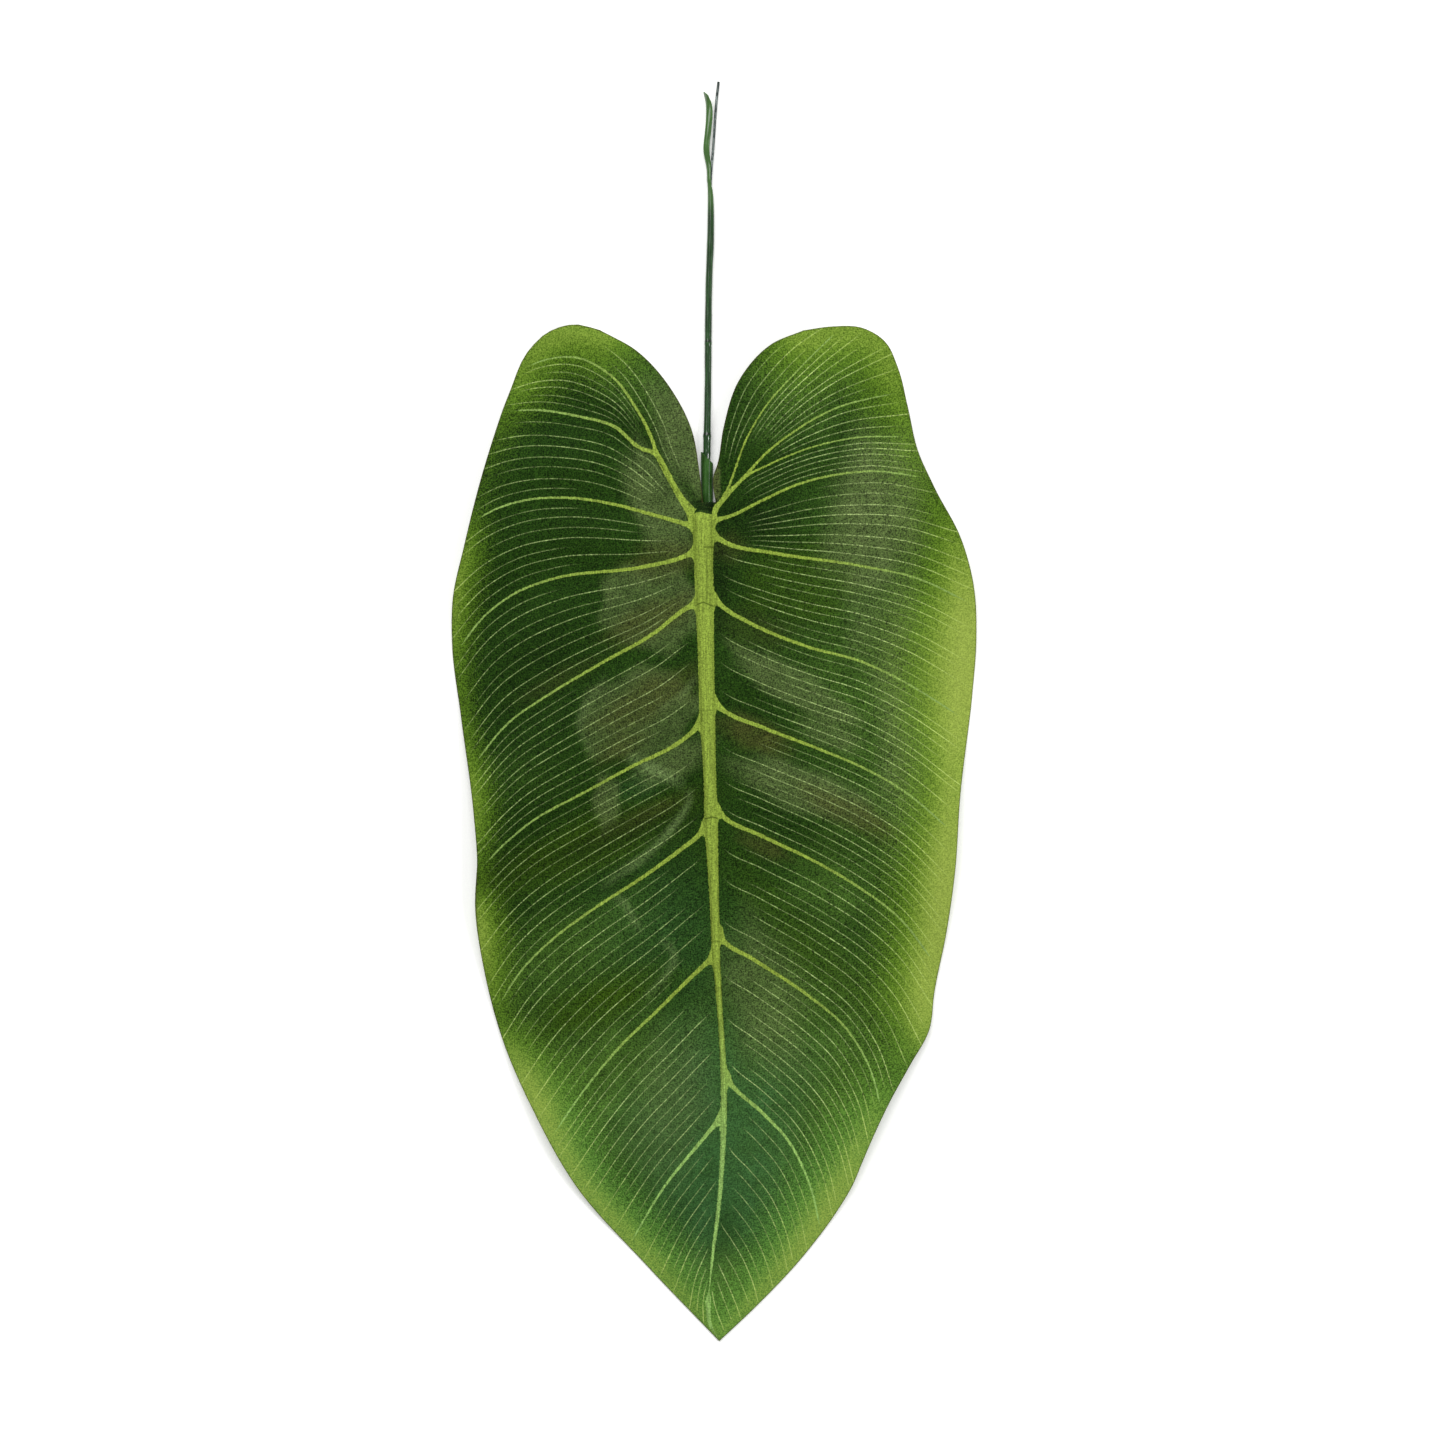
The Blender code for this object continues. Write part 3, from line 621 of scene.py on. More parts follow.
@dataclass(frozen=True)
class PrintedCloth:
    """Woven cloth with the leaf's print: veins, airbrushed margins and darker or greyer areas.

    Sizes are in millimetres. fold is the short fold's middle along X, its width, and its two ends
    along Y. A pair such as dash_span or vein_edge is where a share starts and ends its rise.
    """

    ground: tuple = paint("172C08")
    ground_light: tuple = paint("223E10")
    glow: tuple = paint("5C7E20")
    glow_low: tuple = paint("5C8C38")
    glow_light: tuple = paint("92A648")
    vein: tuple = paint("82983A")
    far_vein: tuple = paint("7E9A50")
    low_vein: tuple = paint("8AB05E")
    fine_vein: tuple = paint("A6BC78")
    fine_on_glow: tuple = paint("AEC468")
    # Painted shade in the midrib's creases and along its fold.
    crease: tuple = paint("4A5A1C")
    cut: tuple = paint("3F3A20")
    # Tints of the tones: the lighter and grey ones are partly print and glue and partly painted
    # sheen, the cool one is painted reflection, the olive one and the shade are mostly painted
    # shade, and the brown one is mostly glue stains.
    tones: tuple = (
        (Tone.LIGHT, paint("4A6A28")), (Tone.COOL_REFLECTION, paint("386034")), (Tone.OLIVE_SHADE, paint("2E460C")),
        (Tone.GREY_GLUE_AND_SHEEN, paint("546438")), (Tone.BROWN, paint("40441E")),
        (Tone.SHADE, paint("0C1C06")), (Tone.PALE, paint("6E8450")),
    )
    fold: tuple = (-2.45, 0.9, 38.5, 53.0)
    threads: tuple = (0.36, 1.1)
    clouds: float = 22.0
    tone_clouds: float = 7.0
    speckle: float = 0.46
    dashes: float = 1.1
    dash_span: tuple = (0.36, 0.56)
    fine_half: float = 0.15
    fine_wiggle: tuple = (1.4, 0.16)
    vein_ragged: tuple = (0.9, 0.5)
    vein_edge: tuple = (0.38, 0.1)
    vein_far: tuple = (0.25, 0.9)
    vein_streaks: tuple = (0.5, 9.0, 1.0)
    low_leaf: tuple = (-90.0, -160.0)
    spray_dust: float = 0.7
    spray_shown: tuple = (0.0, 0.8)
    spray_light: tuple = (0.4, 1.15)
    spray_covers: tuple = (0.78, 1.1)
    cut_reach: tuple = (0.5, 0.1)
    weave_span: tuple = (0.36, 0.64)
    speckle_span: tuple = (0.4, 0.6)
    grain_depth: float = 1.5
    relief: float = 0.12

    def weave(self, graph: Graph) -> Socket:
        """The cloth's threads: noise drawn out along each of two directions.

        Args:
            graph: The material's nodes.

        Returns:
            The threads' height.
        """
        width, run = self.threads
        warp = graph.noise((width, run, 1.0), 1.0, 3.0)
        weft = graph.noise((run, width, 1.0), 1.0, 7.0)
        return graph.times(graph.math("ADD", warp, weft), 0.5)

    def ground_colour(self, graph: Graph) -> Socket:
        """The dark print and its ragged areas of other tones, some of them painted sheen,
        reflection and shade.

        Args:
            graph: The material's nodes.

        Returns:
            The colour.
        """
        colour = graph.mix(graph.noise(self.clouds, 3.0), self.ground, self.ground_light)
        for tone, tint in self.tones:
            ragged = graph.fit(graph.noise(self.tone_clouds, 4.0, 4.0), 1.4, 0.3)
            colour = graph.mix(graph.times(graph.attribute(tone.value), ragged), colour, tint)
        return colour

    def fine_veins(self, graph: Graph, glow: object, sprayed: object) -> Socket:
        """The share of the fine veins' colour: dashed lines, stronger where the print is pale.

        Args:
            graph: The material's nodes.
            glow: The airbrushed margin's strength, which covers them where it is high.
            sprayed: The share of the margin's colour.

        Returns:
            The share.
        """
        dashed = graph.fit(graph.rise(graph.noise(self.dashes, 2.0, 17.0), *self.dash_span),
                           0.4, 0.6)
        over = graph.fit(graph.attribute(Tone.LIGHT.value), 0.5, 0.64)
        ink = graph.times(graph.attribute("fine_ink"), dashed)
        ink = graph.times(ink, graph.fit(sprayed, 0.25, over))
        ink = graph.times(ink, graph.fit(graph.rise(glow, *self.spray_covers), -0.85, 1.0))
        size, shift = self.fine_wiggle
        gap = graph.fit(graph.noise(size, 1.0, 29.0), shift, graph.attribute("fine_gap"))
        ends = (self.fine_half * part + shift / 2 for part in (1.6, 0.4))
        return graph.times(graph.rise(gap, *ends), ink)

    def main_veins(self, graph: Graph, low: object) -> tuple:
        """The share of the main veins' colour, and that colour, streaked along the leaf.

        Args:
            graph: The material's nodes.
            low: The share of the leaf's low end, where the veins are a fresher green.

        Returns:
            The share and the colour.
        """
        size, shift = self.vein_ragged
        gap = graph.fit(graph.noise(size, 1.0, 23.0), shift, graph.attribute("vein_gap"))
        far = graph.rise(graph.attribute("reach"), *self.vein_far)
        colour = graph.mix(low, graph.mix(far, self.vein, self.far_vein), self.low_vein)
        streaks = graph.fit(graph.noise(self.vein_streaks, 2.0, 5.0), 1.2, 0.4)
        return graph.rise(gap, *self.vein_edge), graph.shade(colour, streaks)

    def material(self) -> bpy.types.Material:
        """The printed face's material.

        Returns:
            The material.
        """
        graph = Graph("printed_cloth")
        weave, speckle = self.weave(graph), graph.noise(self.speckle, 2.0, 11.0)
        low = graph.rise(graph.axis("Y"), *self.low_leaf)
        glow = graph.attribute("glow")
        dusty = graph.fit(graph.math("SUBTRACT", speckle, 0.5), self.spray_dust, glow)
        sprayed = graph.rise(dusty, *self.spray_shown)
        spray = graph.mix(graph.rise(dusty, *self.spray_light),
                          graph.mix(low, self.glow, self.glow_low), self.glow_light)
        colour = graph.mix(sprayed, self.ground_colour(graph), spray)
        fine_colour = graph.mix(sprayed, self.fine_vein, self.fine_on_glow)
        colour = graph.mix(self.fine_veins(graph, glow, sprayed), colour, fine_colour)
        vein, vein_colour = self.main_veins(graph, low)
        colour = graph.mix(vein, colour, vein_colour)
        smooth = graph.math("MAXIMUM", sprayed, graph.times(low, 0.5))
        colour = graph.shade(colour, self.grain(graph, weave, speckle, smooth, vein))
        crease = self.crease_lines(graph)
        # Painted shade in the midrib's creases and along its fold.
        colour = graph.mix(graph.times(crease, vein), colour, self.crease)
        edge = graph.rise(graph.attribute("edge"), *self.cut_reach)
        colour = graph.mix(graph.times(edge, 0.6), colour, self.cut)
        graph.surface(Base_Color=colour, Specular_IOR_Level=0.03,
                      Roughness=graph.fit(graph.attribute(Tone.GREY_GLUE_AND_SHEEN.value), -0.12, 0.62),
                      Normal=graph.bump(graph.fit(crease, -0.6, weave), self.relief))
        return graph.material

    def grain(self, graph: Graph, weave: object, speckle: object, sprayed: object,
              vein: object) -> Socket:
        """How much the weave and the print's fine speckle darken or lighten the cloth.

        Args:
            graph: The material's nodes.
            weave: The threads' height.
            speckle: The print's fine noise.
            sprayed: The share of the airbrushed margin's colour, which hides the grain.
            vein: The share of the veins' colour, which hides it less.

        Returns:
            A factor for the colour.
        """
        mixed = graph.math("ADD", graph.rise(weave, *self.weave_span),
                           graph.rise(speckle, *self.speckle_span))
        hidden = graph.math("MAXIMUM", graph.times(sprayed, 0.72), graph.times(vein, 0.45))
        depth = graph.fit(hidden, -self.grain_depth, self.grain_depth)
        centred = graph.math("SUBTRACT", graph.times(mixed, 0.5), 0.5)
        return graph.fit(centred, depth, 1.0)

    def crease_lines(self, graph: Graph) -> Socket:
        """Thin creases pressed across the midrib, and one short fold along it, for their bump and
        their painted shade.

        Args:
            graph: The material's nodes.

        Returns:
            How strongly they show.
        """
        x, y = graph.axis("X"), graph.axis("Y")
        middle, width, low, high = self.fold
        fold = graph.rise(graph.off(x, middle), width / 2, 0.1)
        for end, far in ((low, low - 1.5), (high, high + 6.0)):
            fold = graph.times(fold, graph.rise(y, far, end))
        total = graph.times(fold, 0.55)
        for crease in CREASES:
            place = graph.fit(graph.off(x, crease.middle), crease.slope, crease.place)
            line = graph.times(graph.rise(graph.off(y, place), 0.4, 0.08), crease.strength)
            for end, inside in zip(crease.ends, (0.8, -0.8)):
                line = graph.times(line, graph.rise(x, end, end + inside))
            total = graph.math("MAXIMUM", total, line)
        return total


@dataclass(frozen=True)
class ClothBack:
    """The cloth's unprinted underside, where the print shows through faintly."""

    ground: tuple = paint("6E8A52")
    ground_dark: tuple = paint("5C7A45")
    shown_through: tuple = paint("9DB56B")
    clouds: float = 14.0

    def material(self) -> bpy.types.Material:
        """The underside's material.

        Returns:
            The material.
        """
        graph = Graph("cloth_underside")
        face = PrintedCloth()
        weave = face.weave(graph)
        vein = graph.rise(graph.attribute("vein_gap"), 0.5, -0.1)
        cloudy = graph.mix(graph.noise(self.clouds, 3.0), self.ground, self.ground_dark)
        colour = graph.mix(graph.times(vein, 0.7), cloudy, self.shown_through)
        graph.surface(Base_Color=graph.shade(colour, graph.fit(weave, 0.4, 0.8)), Roughness=0.8,
                      Normal=graph.bump(weave, face.relief))
        return graph.material


@dataclass(frozen=True)
class CutEdge:
    """The heat-cut edge of the cloth, browned a little."""

    colour: tuple = paint("56531F")
    greener: tuple = paint("3C4A1C")

    def material(self) -> bpy.types.Material:
        """The cut edge's material.

        Returns:
            The material.
        """
        graph = Graph("cut_edge")
        graph.surface(Base_Color=graph.mix(graph.noise(1.5, 2.0), self.colour, self.greener),
                      Roughness=0.7, Normal=graph.bump(graph.noise(0.6, 2.0), 0.1))
        return graph.material


@dataclass(frozen=True)
class MouldedPlastic:
    """Glossy moulded plastic with flow lines along the part and faint cloudiness.

    far_from is the span along Y where far_tint comes in, and by default it lies past the part.
    rings are the places along Y of its ring marks, whose grooves are darkened as painted shade.
    """

    name: str
    colour: tuple
    pale: tuple
    roughness: float
    glow_through: float = 0.0
    far_tint: tuple = paint("3C622A")
    far_from: tuple = (500.0, 501.0)
    gloss: float = 0.3
    rings: tuple = ()
    ring_half: tuple = (0.6, 0.15)
    flow_lines: tuple = (0.5, 7.0, 0.5)
    depth_of_light: tuple = (0.4, 1.0, 0.3)

    def material(self) -> bpy.types.Material:
        """The plastic's material.

        Returns:
            The material.
        """
        graph = Graph(self.name)
        lines = graph.noise(self.flow_lines, 3.0, 2.0)
        clouds = graph.noise(3.0, 2.0, 9.0)
        y = graph.axis("Y")
        colour = graph.mix(graph.rise(lines, 0.35, 0.75), self.colour, self.pale)
        colour = graph.mix(graph.rise(y, *self.far_from), colour, self.far_tint)
        clouds_and_groove_shade = graph.fit(clouds, 0.5, 0.75)
        # Faint cloudiness, and painted shade in the ring marks' grooves.
        for place in self.rings:
            groove_shade = graph.fit(graph.rise(graph.off(y, place + 0.5), *self.ring_half), -0.75, 1.0)
            clouds_and_groove_shade = graph.times(clouds_and_groove_shade, groove_shade)
        graph.surface(Base_Color=graph.shade(colour, clouds_and_groove_shade), Specular_IOR_Level=self.gloss,
                      Roughness=graph.fit(clouds, 0.2, self.roughness - 0.1),
                      Normal=graph.bump(lines, 0.03, 0.5), Subsurface_Weight=self.glow_through,
                      Subsurface_Radius=self.depth_of_light, Subsurface_Scale=MM)
        return graph.material


@dataclass(frozen=True)
class SteelWire:
    """Drawn steel wire, dulled, with marks along its length."""

    colour: tuple = paint("8E9894")
    dark: tuple = paint("343C3A")
    draw_marks: tuple = (0.25, 5.0, 0.25)
    spots: float = 1.2

    def material(self) -> bpy.types.Material:
        """The wire's material.

        Returns:
            The material.
        """
        graph = Graph("steel_wire")
        marks = graph.noise(self.draw_marks, 3.0, 1.0)
        spots = graph.noise(self.spots, 3.0, 6.0)
        bright = graph.times(graph.rise(marks, 0.35, 0.7), graph.rise(spots, 0.3, 0.6))
        graph.surface(Base_Color=graph.mix(bright, self.dark, self.colour), Metallic=0.9,
                      Roughness=graph.fit(spots, 0.3, 0.2), Normal=graph.bump(marks, 0.05, 0.5))
        return graph.material


def sheet_grid(name: str, points: np.ndarray) -> Piece:
    """A grid primitive whose points are set to rows of places.

    Args:
        name: The piece's name.
        points: Rows of points in millimetres, from the stem's end and from left to right.

    Returns:
        The new object, alone selected and active.
    """
    rows, columns = points.shape[:2]
    bpy.ops.object.select_all(action="DESELECT")
    bpy.ops.mesh.primitive_grid_add(x_subdivisions=columns - 1, y_subdivisions=rows - 1, size=2)
    piece = bpy.context.object
    piece.name = piece.data.name = name
    low_first = points[::-1].reshape(-1, 3)
    piece.data.vertices.foreach_set("co", low_first.astype(np.float32).ravel())
    piece.data.update()
    return piece


def store(piece: Piece, name: str, values: np.ndarray) -> None:
    """Keep a value on each point of a grid made by sheet_grid, from rows in the same order."""
    layer = piece.data.attributes.new(name, "FLOAT", "POINT")
    layer.data.foreach_set("value", values[::-1].astype(np.float32).ravel())


def in_edit_mode(*steps: tuple) -> None:
    """Run edit-mode operators on everything in the active mesh.

    Args:
        steps: Pairs of an operator of bpy.ops.mesh, by name, and its settings.
    """
    bpy.ops.object.mode_set(mode="EDIT")
    bpy.ops.mesh.select_all(action="SELECT")
    for name, settings in steps:
        getattr(bpy.ops.mesh, name)(**settings)
    bpy.ops.object.mode_set(mode="OBJECT")


def close_ends(merge: float) -> None:
    """Merge the active tube's seam, cap its open ends and point its faces outwards.

    Args:
        merge: How near two points are merged.
    """
    in_edit_mode(("remove_doubles", {"threshold": merge}), ("select_all", {"action": "DESELECT"}),
                 ("select_non_manifold", {}), ("fill", {}), ("select_all", {"action": "SELECT"}),
                 ("normals_make_consistent", {"inside": False}))


def merge_seams(merge: float) -> None:
    """Merge the active sheet's doubled points and turn all its faces to one side."""
    in_edit_mode(("remove_doubles", {"threshold": merge}),
                 ("normals_make_consistent", {"inside": False}))


def apply_modifier(piece: Piece, kind: str, **settings: object) -> None:
    """Add a modifier to the active piece and apply it.

    Args:
        piece: The piece.
        kind: The modifier's type.
        settings: Its settings.
    """
    modifier = piece.modifiers.new(kind.title(), kind)
    for name, value in settings.items():
        setattr(modifier, name, value)
    bpy.ops.object.modifier_apply(modifier=modifier.name)


def dress(piece: Piece, offset: Vector, nodes: tuple, materials: tuple) -> Piece:
    """Set a finished piece in its place, give it its materials and body, and hide its CAD nodes.

    Args:
        piece: The piece, in millimetres.
        offset: From the piece's millimetres to the CAD frame, in metres.
        nodes: The CAD nodes that it stands for.
        materials: Its materials, in slot order.

    Returns:
        The piece.
    """
    points = np.empty(len(piece.data.vertices) * 3, np.float32)
    piece.data.vertices.foreach_get("co", points)
    placed = points.reshape(-1, 3) * MM + np.array(offset)
    piece.data.vertices.foreach_set("co", placed.astype(np.float32).ravel())
    piece.data.materials.clear()
    for material in materials:
        piece.data.materials.append(material)
    piece.data.update()
    bpy.ops.object.select_all(action="DESELECT")
    piece.select_set(True)
    bpy.context.view_layer.objects.active = piece
    bpy.ops.object.shade_smooth_by_angle(angle=SMOOTH_BELOW)
    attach(piece, BODY)
    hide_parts(*nodes)
    LOG.info("%s: %d faces", piece.name, len(piece.data.polygons))
    return piece


@dataclass
class Midrib:
    """The raised midrib that the cloth is pressed over, and the height of the cloth along it.

    place has rows of Y, the middle's X and half the width. across and shape are its section.
    """

    place: tuple = (
        (71.5, -1.5, 2.2), (68.8, -3.3, 3.3), (63.3, -3.5, 3.5), (54.4, -3.5, 3.3),
        (38.2, -3.1, 3.1), (17.7, -2.6, 2.75), (-0.2, -2.2, 2.65), (-20.1, -1.4, 2.15),
        (-36.5, -0.9, 2.2), (-64.6, 0.2, 1.6), (-80.1, 0.7, 1.35), (-98.9, 1.9, 0.95),
        (-123.0, 3.3, 1.0), (-140.1, 3.4, 1.0), (-153.8, 2.9, 0.8), (-167.5, 1.9, 0.7),
        (-184.7, -0.2, 0.5), (-201.8, -1.9, 0.0),
    )
    arch: tuple = ((71.5, 4.75), (40.0, 6.6), (-20.0, 8.6), (-90.0, 8.2), (-150.0, 5.0),
                   (-201.8, 0.8))
    ridge: tuple = ((71.5, 0.0), (67.5, 1.35), (40.0, 1.6), (-40.0, 1.2), (-120.0, 0.7),
                    (-201.8, 0.0))
    across: tuple = (0.0, 0.62, 1.0)
    shape: tuple = (1.0, 0.8, 0.0)

    def edge(self, side: Side, y: np.ndarray) -> np.ndarray:
        """Points on one edge of the midrib at places along Y."""
        middle, half = np.moveaxis(down_leaf(self.place, y), -1, 0)
        return np.stack((middle + side.value * half, np.asarray(y, float)), axis=-1)

    def cloth_under(self, y: np.ndarray, offset: np.ndarray) -> np.ndarray:
        """The height of the cloth's underside at a distance from the midrib's middle.

        Args:
            y: Places along Y.
            offset: Distances from the midrib's middle.

        Returns:
            Heights in millimetres.
        """
        half = np.maximum(down_leaf(self.place, y)[..., 1], 0.1)
        share = np.interp(np.abs(offset) / half, self.across, self.shape)
        return down_leaf(self.arch, y) + share * down_leaf(self.ridge, y)


@dataclass
class ClothBlade:
    """The cloth blade: two waved halves and the midrib between them, as one printed sheet."""

    rib: Midrib
    cloth: float = 0.4
    columns: int = 100
    rib_columns: int = 12
    vein_rise: float = 0.3
    vein_foot: float = 1.6
    vein_start: float = 0.09
    vein_thins: float = 0.6
    panel_puff: float = 1.1
    puff_span: float = 26.0
    droop_power: float = 1.7
    trough_depth: float = 3.2
    trough_root: float = 6.66
    trough_shift: float = -0.4
    trough_width: float = 0.30
    ripple: float = 0.10
    rib_print_top: float = 68.2
    row_shift: float = 0.16
    fine_room: tuple = (0.9, 1.8)
    fillet: float = 0.32
    rib_fillet: tuple = (1.8, 2.5)
    flare_reach: float = 2.0
    vein_fade: float = 8.0
    far_off: float = 50.0
    margin_steps: int = 2000
    edge_steps: int = 160
    flat_size: tuple = (0.180, 0.348)
    flat_area: float = 0.0465
    veins: dict = field(default_factory=lambda: dict(zip(Side, (LEFT_VEINS, RIGHT_VEINS))))
    outlines: dict = field(default_factory=lambda: dict(zip(Side, (LEFT_OUTLINE, RIGHT_OUTLINE))))
    glows: dict = field(default_factory=lambda: dict(zip(Side, (LEFT_GLOW, RIGHT_GLOW))))

    def across(self) -> np.ndarray:
        """Shares of the way from the midrib to the margin, closer together near the midrib."""
        even = np.linspace(0.0, 1.0, self.columns + 1)
        return 0.7 * even + 0.3 * even * even

    def ink_along(self, ink: Ink, chance: np.ndarray) -> np.ndarray:
        """How strongly a fine vein is printed from the midrib to the margin.

        Args:
            ink: How it is printed.
            chance: Three random shares of its own.

        Returns:
            Its strength at each column.
        """
        across = self.across()
        strength, start, finish = INK_RUNS[ink]
        start += 0.1 * chance[0] * (ink is not Ink.STRONG)
        finish -= 0.12 * chance[1]
        waver = 0.85 + 0.15 * np.sin(2 * math.pi * (2.3 * across + chance[2]))
        shown = smooth_step(across, start, start + 0.1)
        return strength * waver * shown * (1 - smooth_step(across, finish, finish + 0.1))

    def half(self, side: Side) -> dict:
        """One half of the blade.

        Args:
            side: Which half.

        Returns:
            Rows of points, and rows of values for each attribute, from the notch to the tip.
        """
        veins, outline = self.veins[side], self.outlines[side]
        chance = np.random.default_rng(41 + side.value)
        across = self.across()
        fractions = np.linspace(0.0, 1.0, self.margin_steps)
        margin = along(outline, fractions)
        roots = np.array([vein.route[0][1] for vein in veins])
        ends, lines, eased = [], [], []
        for vein, root in zip(veins, roots):
            nearest = np.linalg.norm(margin - np.array(vein.route[-1]), axis=1).argmin()
            ends.append(fractions[nearest])
            route = [tuple(self.rib.edge(side, root)), *vein.route[1:-1], tuple(margin[nearest])]
            lines.append(along(route, across))
            eased.append(along([route[0], *route[1 + vein.trunk:]], across))
        numbers = np.arange(len(veins))
        lifts = np.array([vein.lift for vein in veins])
        spreads = np.linalg.norm(np.diff(lines, axis=0), axis=2)
        droop = across**self.droop_power
        points, inks, nears = [], [], []
        for number, step, ink, near in self.rows(veins, chance):
            here, after, spread = lines[number], lines[number + 1], spreads[number]
            here = here + (eased[number] - here) * np.minimum(3 * step, 1)[:, None]
            root_y = roots[number] * (1 - step[0]) + roots[number + 1] * step[0]
            end_at = ends[number] * (1 - step[-1]) + ends[number + 1] * step[-1]
            blend = here * (1 - step[:, None]) + after * step[:, None]
            blend += (1 - across[:, None]) * (self.rib.edge(side, root_y) - blend[0])
            blend += across[:, None] * (along(outline, [end_at])[0] - blend[-1])
            height = down_leaf(self.rib.arch, root_y) * (1 - droop)
            height += hermite(numbers, lifts, number + step) * droop
            puff = self.panel_puff * np.clip(spread / self.puff_span, 0, 1)
            height += puff * np.sin(math.pi * step) ** 2 * 4 * across * (1 - across)
            if side is Side.LEFT:
                off = number + step - self.trough_root - self.trough_shift * across
                hollow = np.exp(-((off / self.trough_width) ** 2))
                height -= self.trough_depth * hollow * np.sin(math.pi * across) ** 0.5
            points.append(np.column_stack((blend, height)))
            inks.append(ink)
            nears.append(near)
        points = np.array(points)
        gap = self.vein_gap(side, points[..., :2], lines)
        rise = self.vein_rise * np.clip(1 - gap["centre"] / self.vein_foot, 0, 1) ** 2
        rise = rise * (1 - self.vein_thins * across)
        points[..., 2] += rise * np.clip(across / self.vein_start, 0, 1)
        points[..., 2] += self.ripples(points) * np.sin(math.pi * across) ** 0.5
        points[..., 2] = np.maximum(points[..., 2], 0.0)
        near, pitch = self.fine_gap(points[..., :2], np.array(nears))
        room = smooth_step(pitch / (1 + 0.6 * np.clip(1 - across / 0.4, 0, 1)), *self.fine_room)
        return {"points": points, "vein_gap": gap["edge"], "fine_ink": np.array(inks) * room,
                "fine_gap": near}

    def rows(self, veins: tuple, chance: np.random.Generator) -> list:
        """The mesh rows of one half: each main and fine vein, and rows between them.

        Args:
            veins: The half's main veins.
            chance: The source of its small random shifts.

        Returns:
            For each row: its panel, its step from one main vein to the next at each column, its
            ink, and how near it is to a vein, from 0 on it to 0.5 midway to the next one.
        """
        across = self.across()
        none, whole = np.zeros_like(across), np.ones_like(across)
        rows = []
        for number, vein in enumerate(veins[:-1]):
            count = len(vein.inks) + 1
            places, inks = [none], [none]
            for index, letter in enumerate(vein.inks, 1):
                shift = chance.uniform(-self.row_shift, self.row_shift, 2)
                places.append((index + shift[0] * (1 - across) + shift[1] * across) / count)
                inks.append(self.ink_along(Ink(letter), chance.uniform(0.0, 1.0, 3)))
            places.append(whole)
            inks.append(none)
            for index in range(count):
                for part in range(vein.splits):
                    share = part / vein.splits
                    step = places[index] * (1 - share) + places[index + 1] * share
                    ink = inks[index] * (1 - share) + inks[index + 1] * share
                    rows.append((number, step, ink, min(share, 1 - share)))
        rows.append((len(veins) - 2, whole, none, 0.0))
        return rows

    def vein_gap(self, side: Side, flat: np.ndarray, lines: list) -> dict:
        """How far each point is from the main veins' edges and middles.

        Args:
            side: Which half.
            flat: The half's points in X and Y.
            lines: Each main vein's points, from the midrib to the margin.

        Returns:
            The distance from the nearest printed edge, less than 0 inside it, and the distance
            from the nearest vein's middle.
        """
        points = flat.reshape(-1, 2)
        total = np.zeros(len(points))
        centre = np.full(len(points), self.far_off)
        rib = self.rib_gap(points[:, 0], points[:, 1])
        wider, span = self.rib_fillet
        fillet = self.fillet * (1 + wider * np.exp(-((rib / span) ** 2)))
        for vein, line in zip(self.veins[side], lines):
            if not vein.widths[0]:
                continue
            reach, share = nearest_on(points, line)
            length = np.linalg.norm(np.diff(line, axis=0), axis=1).sum()
            width = vein.widths[0] + (vein.widths[1] - vein.widths[0]) * share**0.6
            width *= smooth_step(share, vein.starts - 0.08, vein.starts + 0.02)
            width += vein.flare * np.exp(-share * length / self.flare_reach) * (vein.starts == 0)
            gap = reach - width / 2 + self.vein_fade * np.clip(share - 0.93, 0, 1)
            total += np.exp(-np.clip(gap, -3, 12) / fillet)
            centre = np.minimum(centre, reach)
        total += np.exp(-np.clip(rib, -3, 12) / fillet)
        edge = -fillet * np.log(total)
        return {"edge": edge.reshape(flat.shape[:2]), "centre": centre.reshape(flat.shape[:2])}

    def fine_gap(self, flat: np.ndarray, nears: np.ndarray) -> tuple:
        """How far each point is from the nearest vein row, and how far apart those rows are.

        Args:
            flat: Rows of points in X and Y.
            nears: How near each row is to a vein, from 0 on it to 0.5 midway.

        Returns:
            Distances to the nearest vein row, and from the vein row before to the one after.
        """
        on_vein = np.flatnonzero(nears == 0)
        run = np.gradient(flat, axis=1)
        run /= np.maximum(np.linalg.norm(run, axis=2), 1e-9)[..., None]
        near, pitch = np.zeros(flat.shape[:2]), np.zeros(flat.shape[:2])
        for row in range(len(flat)):
            spot = np.searchsorted(on_vein, row)
            before = on_vein[max(spot - 1, 0)]
            after = on_vein[min(spot + (nears[row] == 0), len(on_vein) - 1)]
            sides = []
            for other in (before, after):
                off = flat[other] - flat[row]
                sides.append(np.abs(off[:, 0] * run[row][:, 1] - off[:, 1] * run[row][:, 0]))
            near[row] = np.minimum(*sides) * (nears[row] > 0)
            pitch[row] = (sides[0] + sides[1]) / (1 + (nears[row] == 0))
        return near, pitch

    def rib_gap(self, x: np.ndarray, y: np.ndarray) -> np.ndarray:
        """How far places are from the midrib's print, which has a rounded top.

        Args:
            x: Their X.
            y: Their Y.

        Returns:
            Distances, less than 0 inside the print.
        """
        middle, half = np.moveaxis(down_leaf(self.rib.place, y), -1, 0)
        offset = x - middle
        top = self.rib_print_top - 0.25 * np.abs(offset + 1.0)
        return np.maximum(np.abs(offset) - half, y - top)

    def ripples(self, points: np.ndarray) -> np.ndarray:
        """Small uneven waves of the cloth.

        Args:
            points: Rows of points.

        Returns:
            Heights in millimetres.
        """
        x, y = points[..., 0], points[..., 1]
        wave = np.sin(x / 5.1 + 1.3 * np.sin(y / 9.7)) * np.sin(y / 6.3 + 1.7 * np.sin(x / 12.1))
        wave += 0.7 * np.sin((x + y) / 9.3 + 2.0 * np.sin((x - y) / 17.0))
        return self.ripple * wave

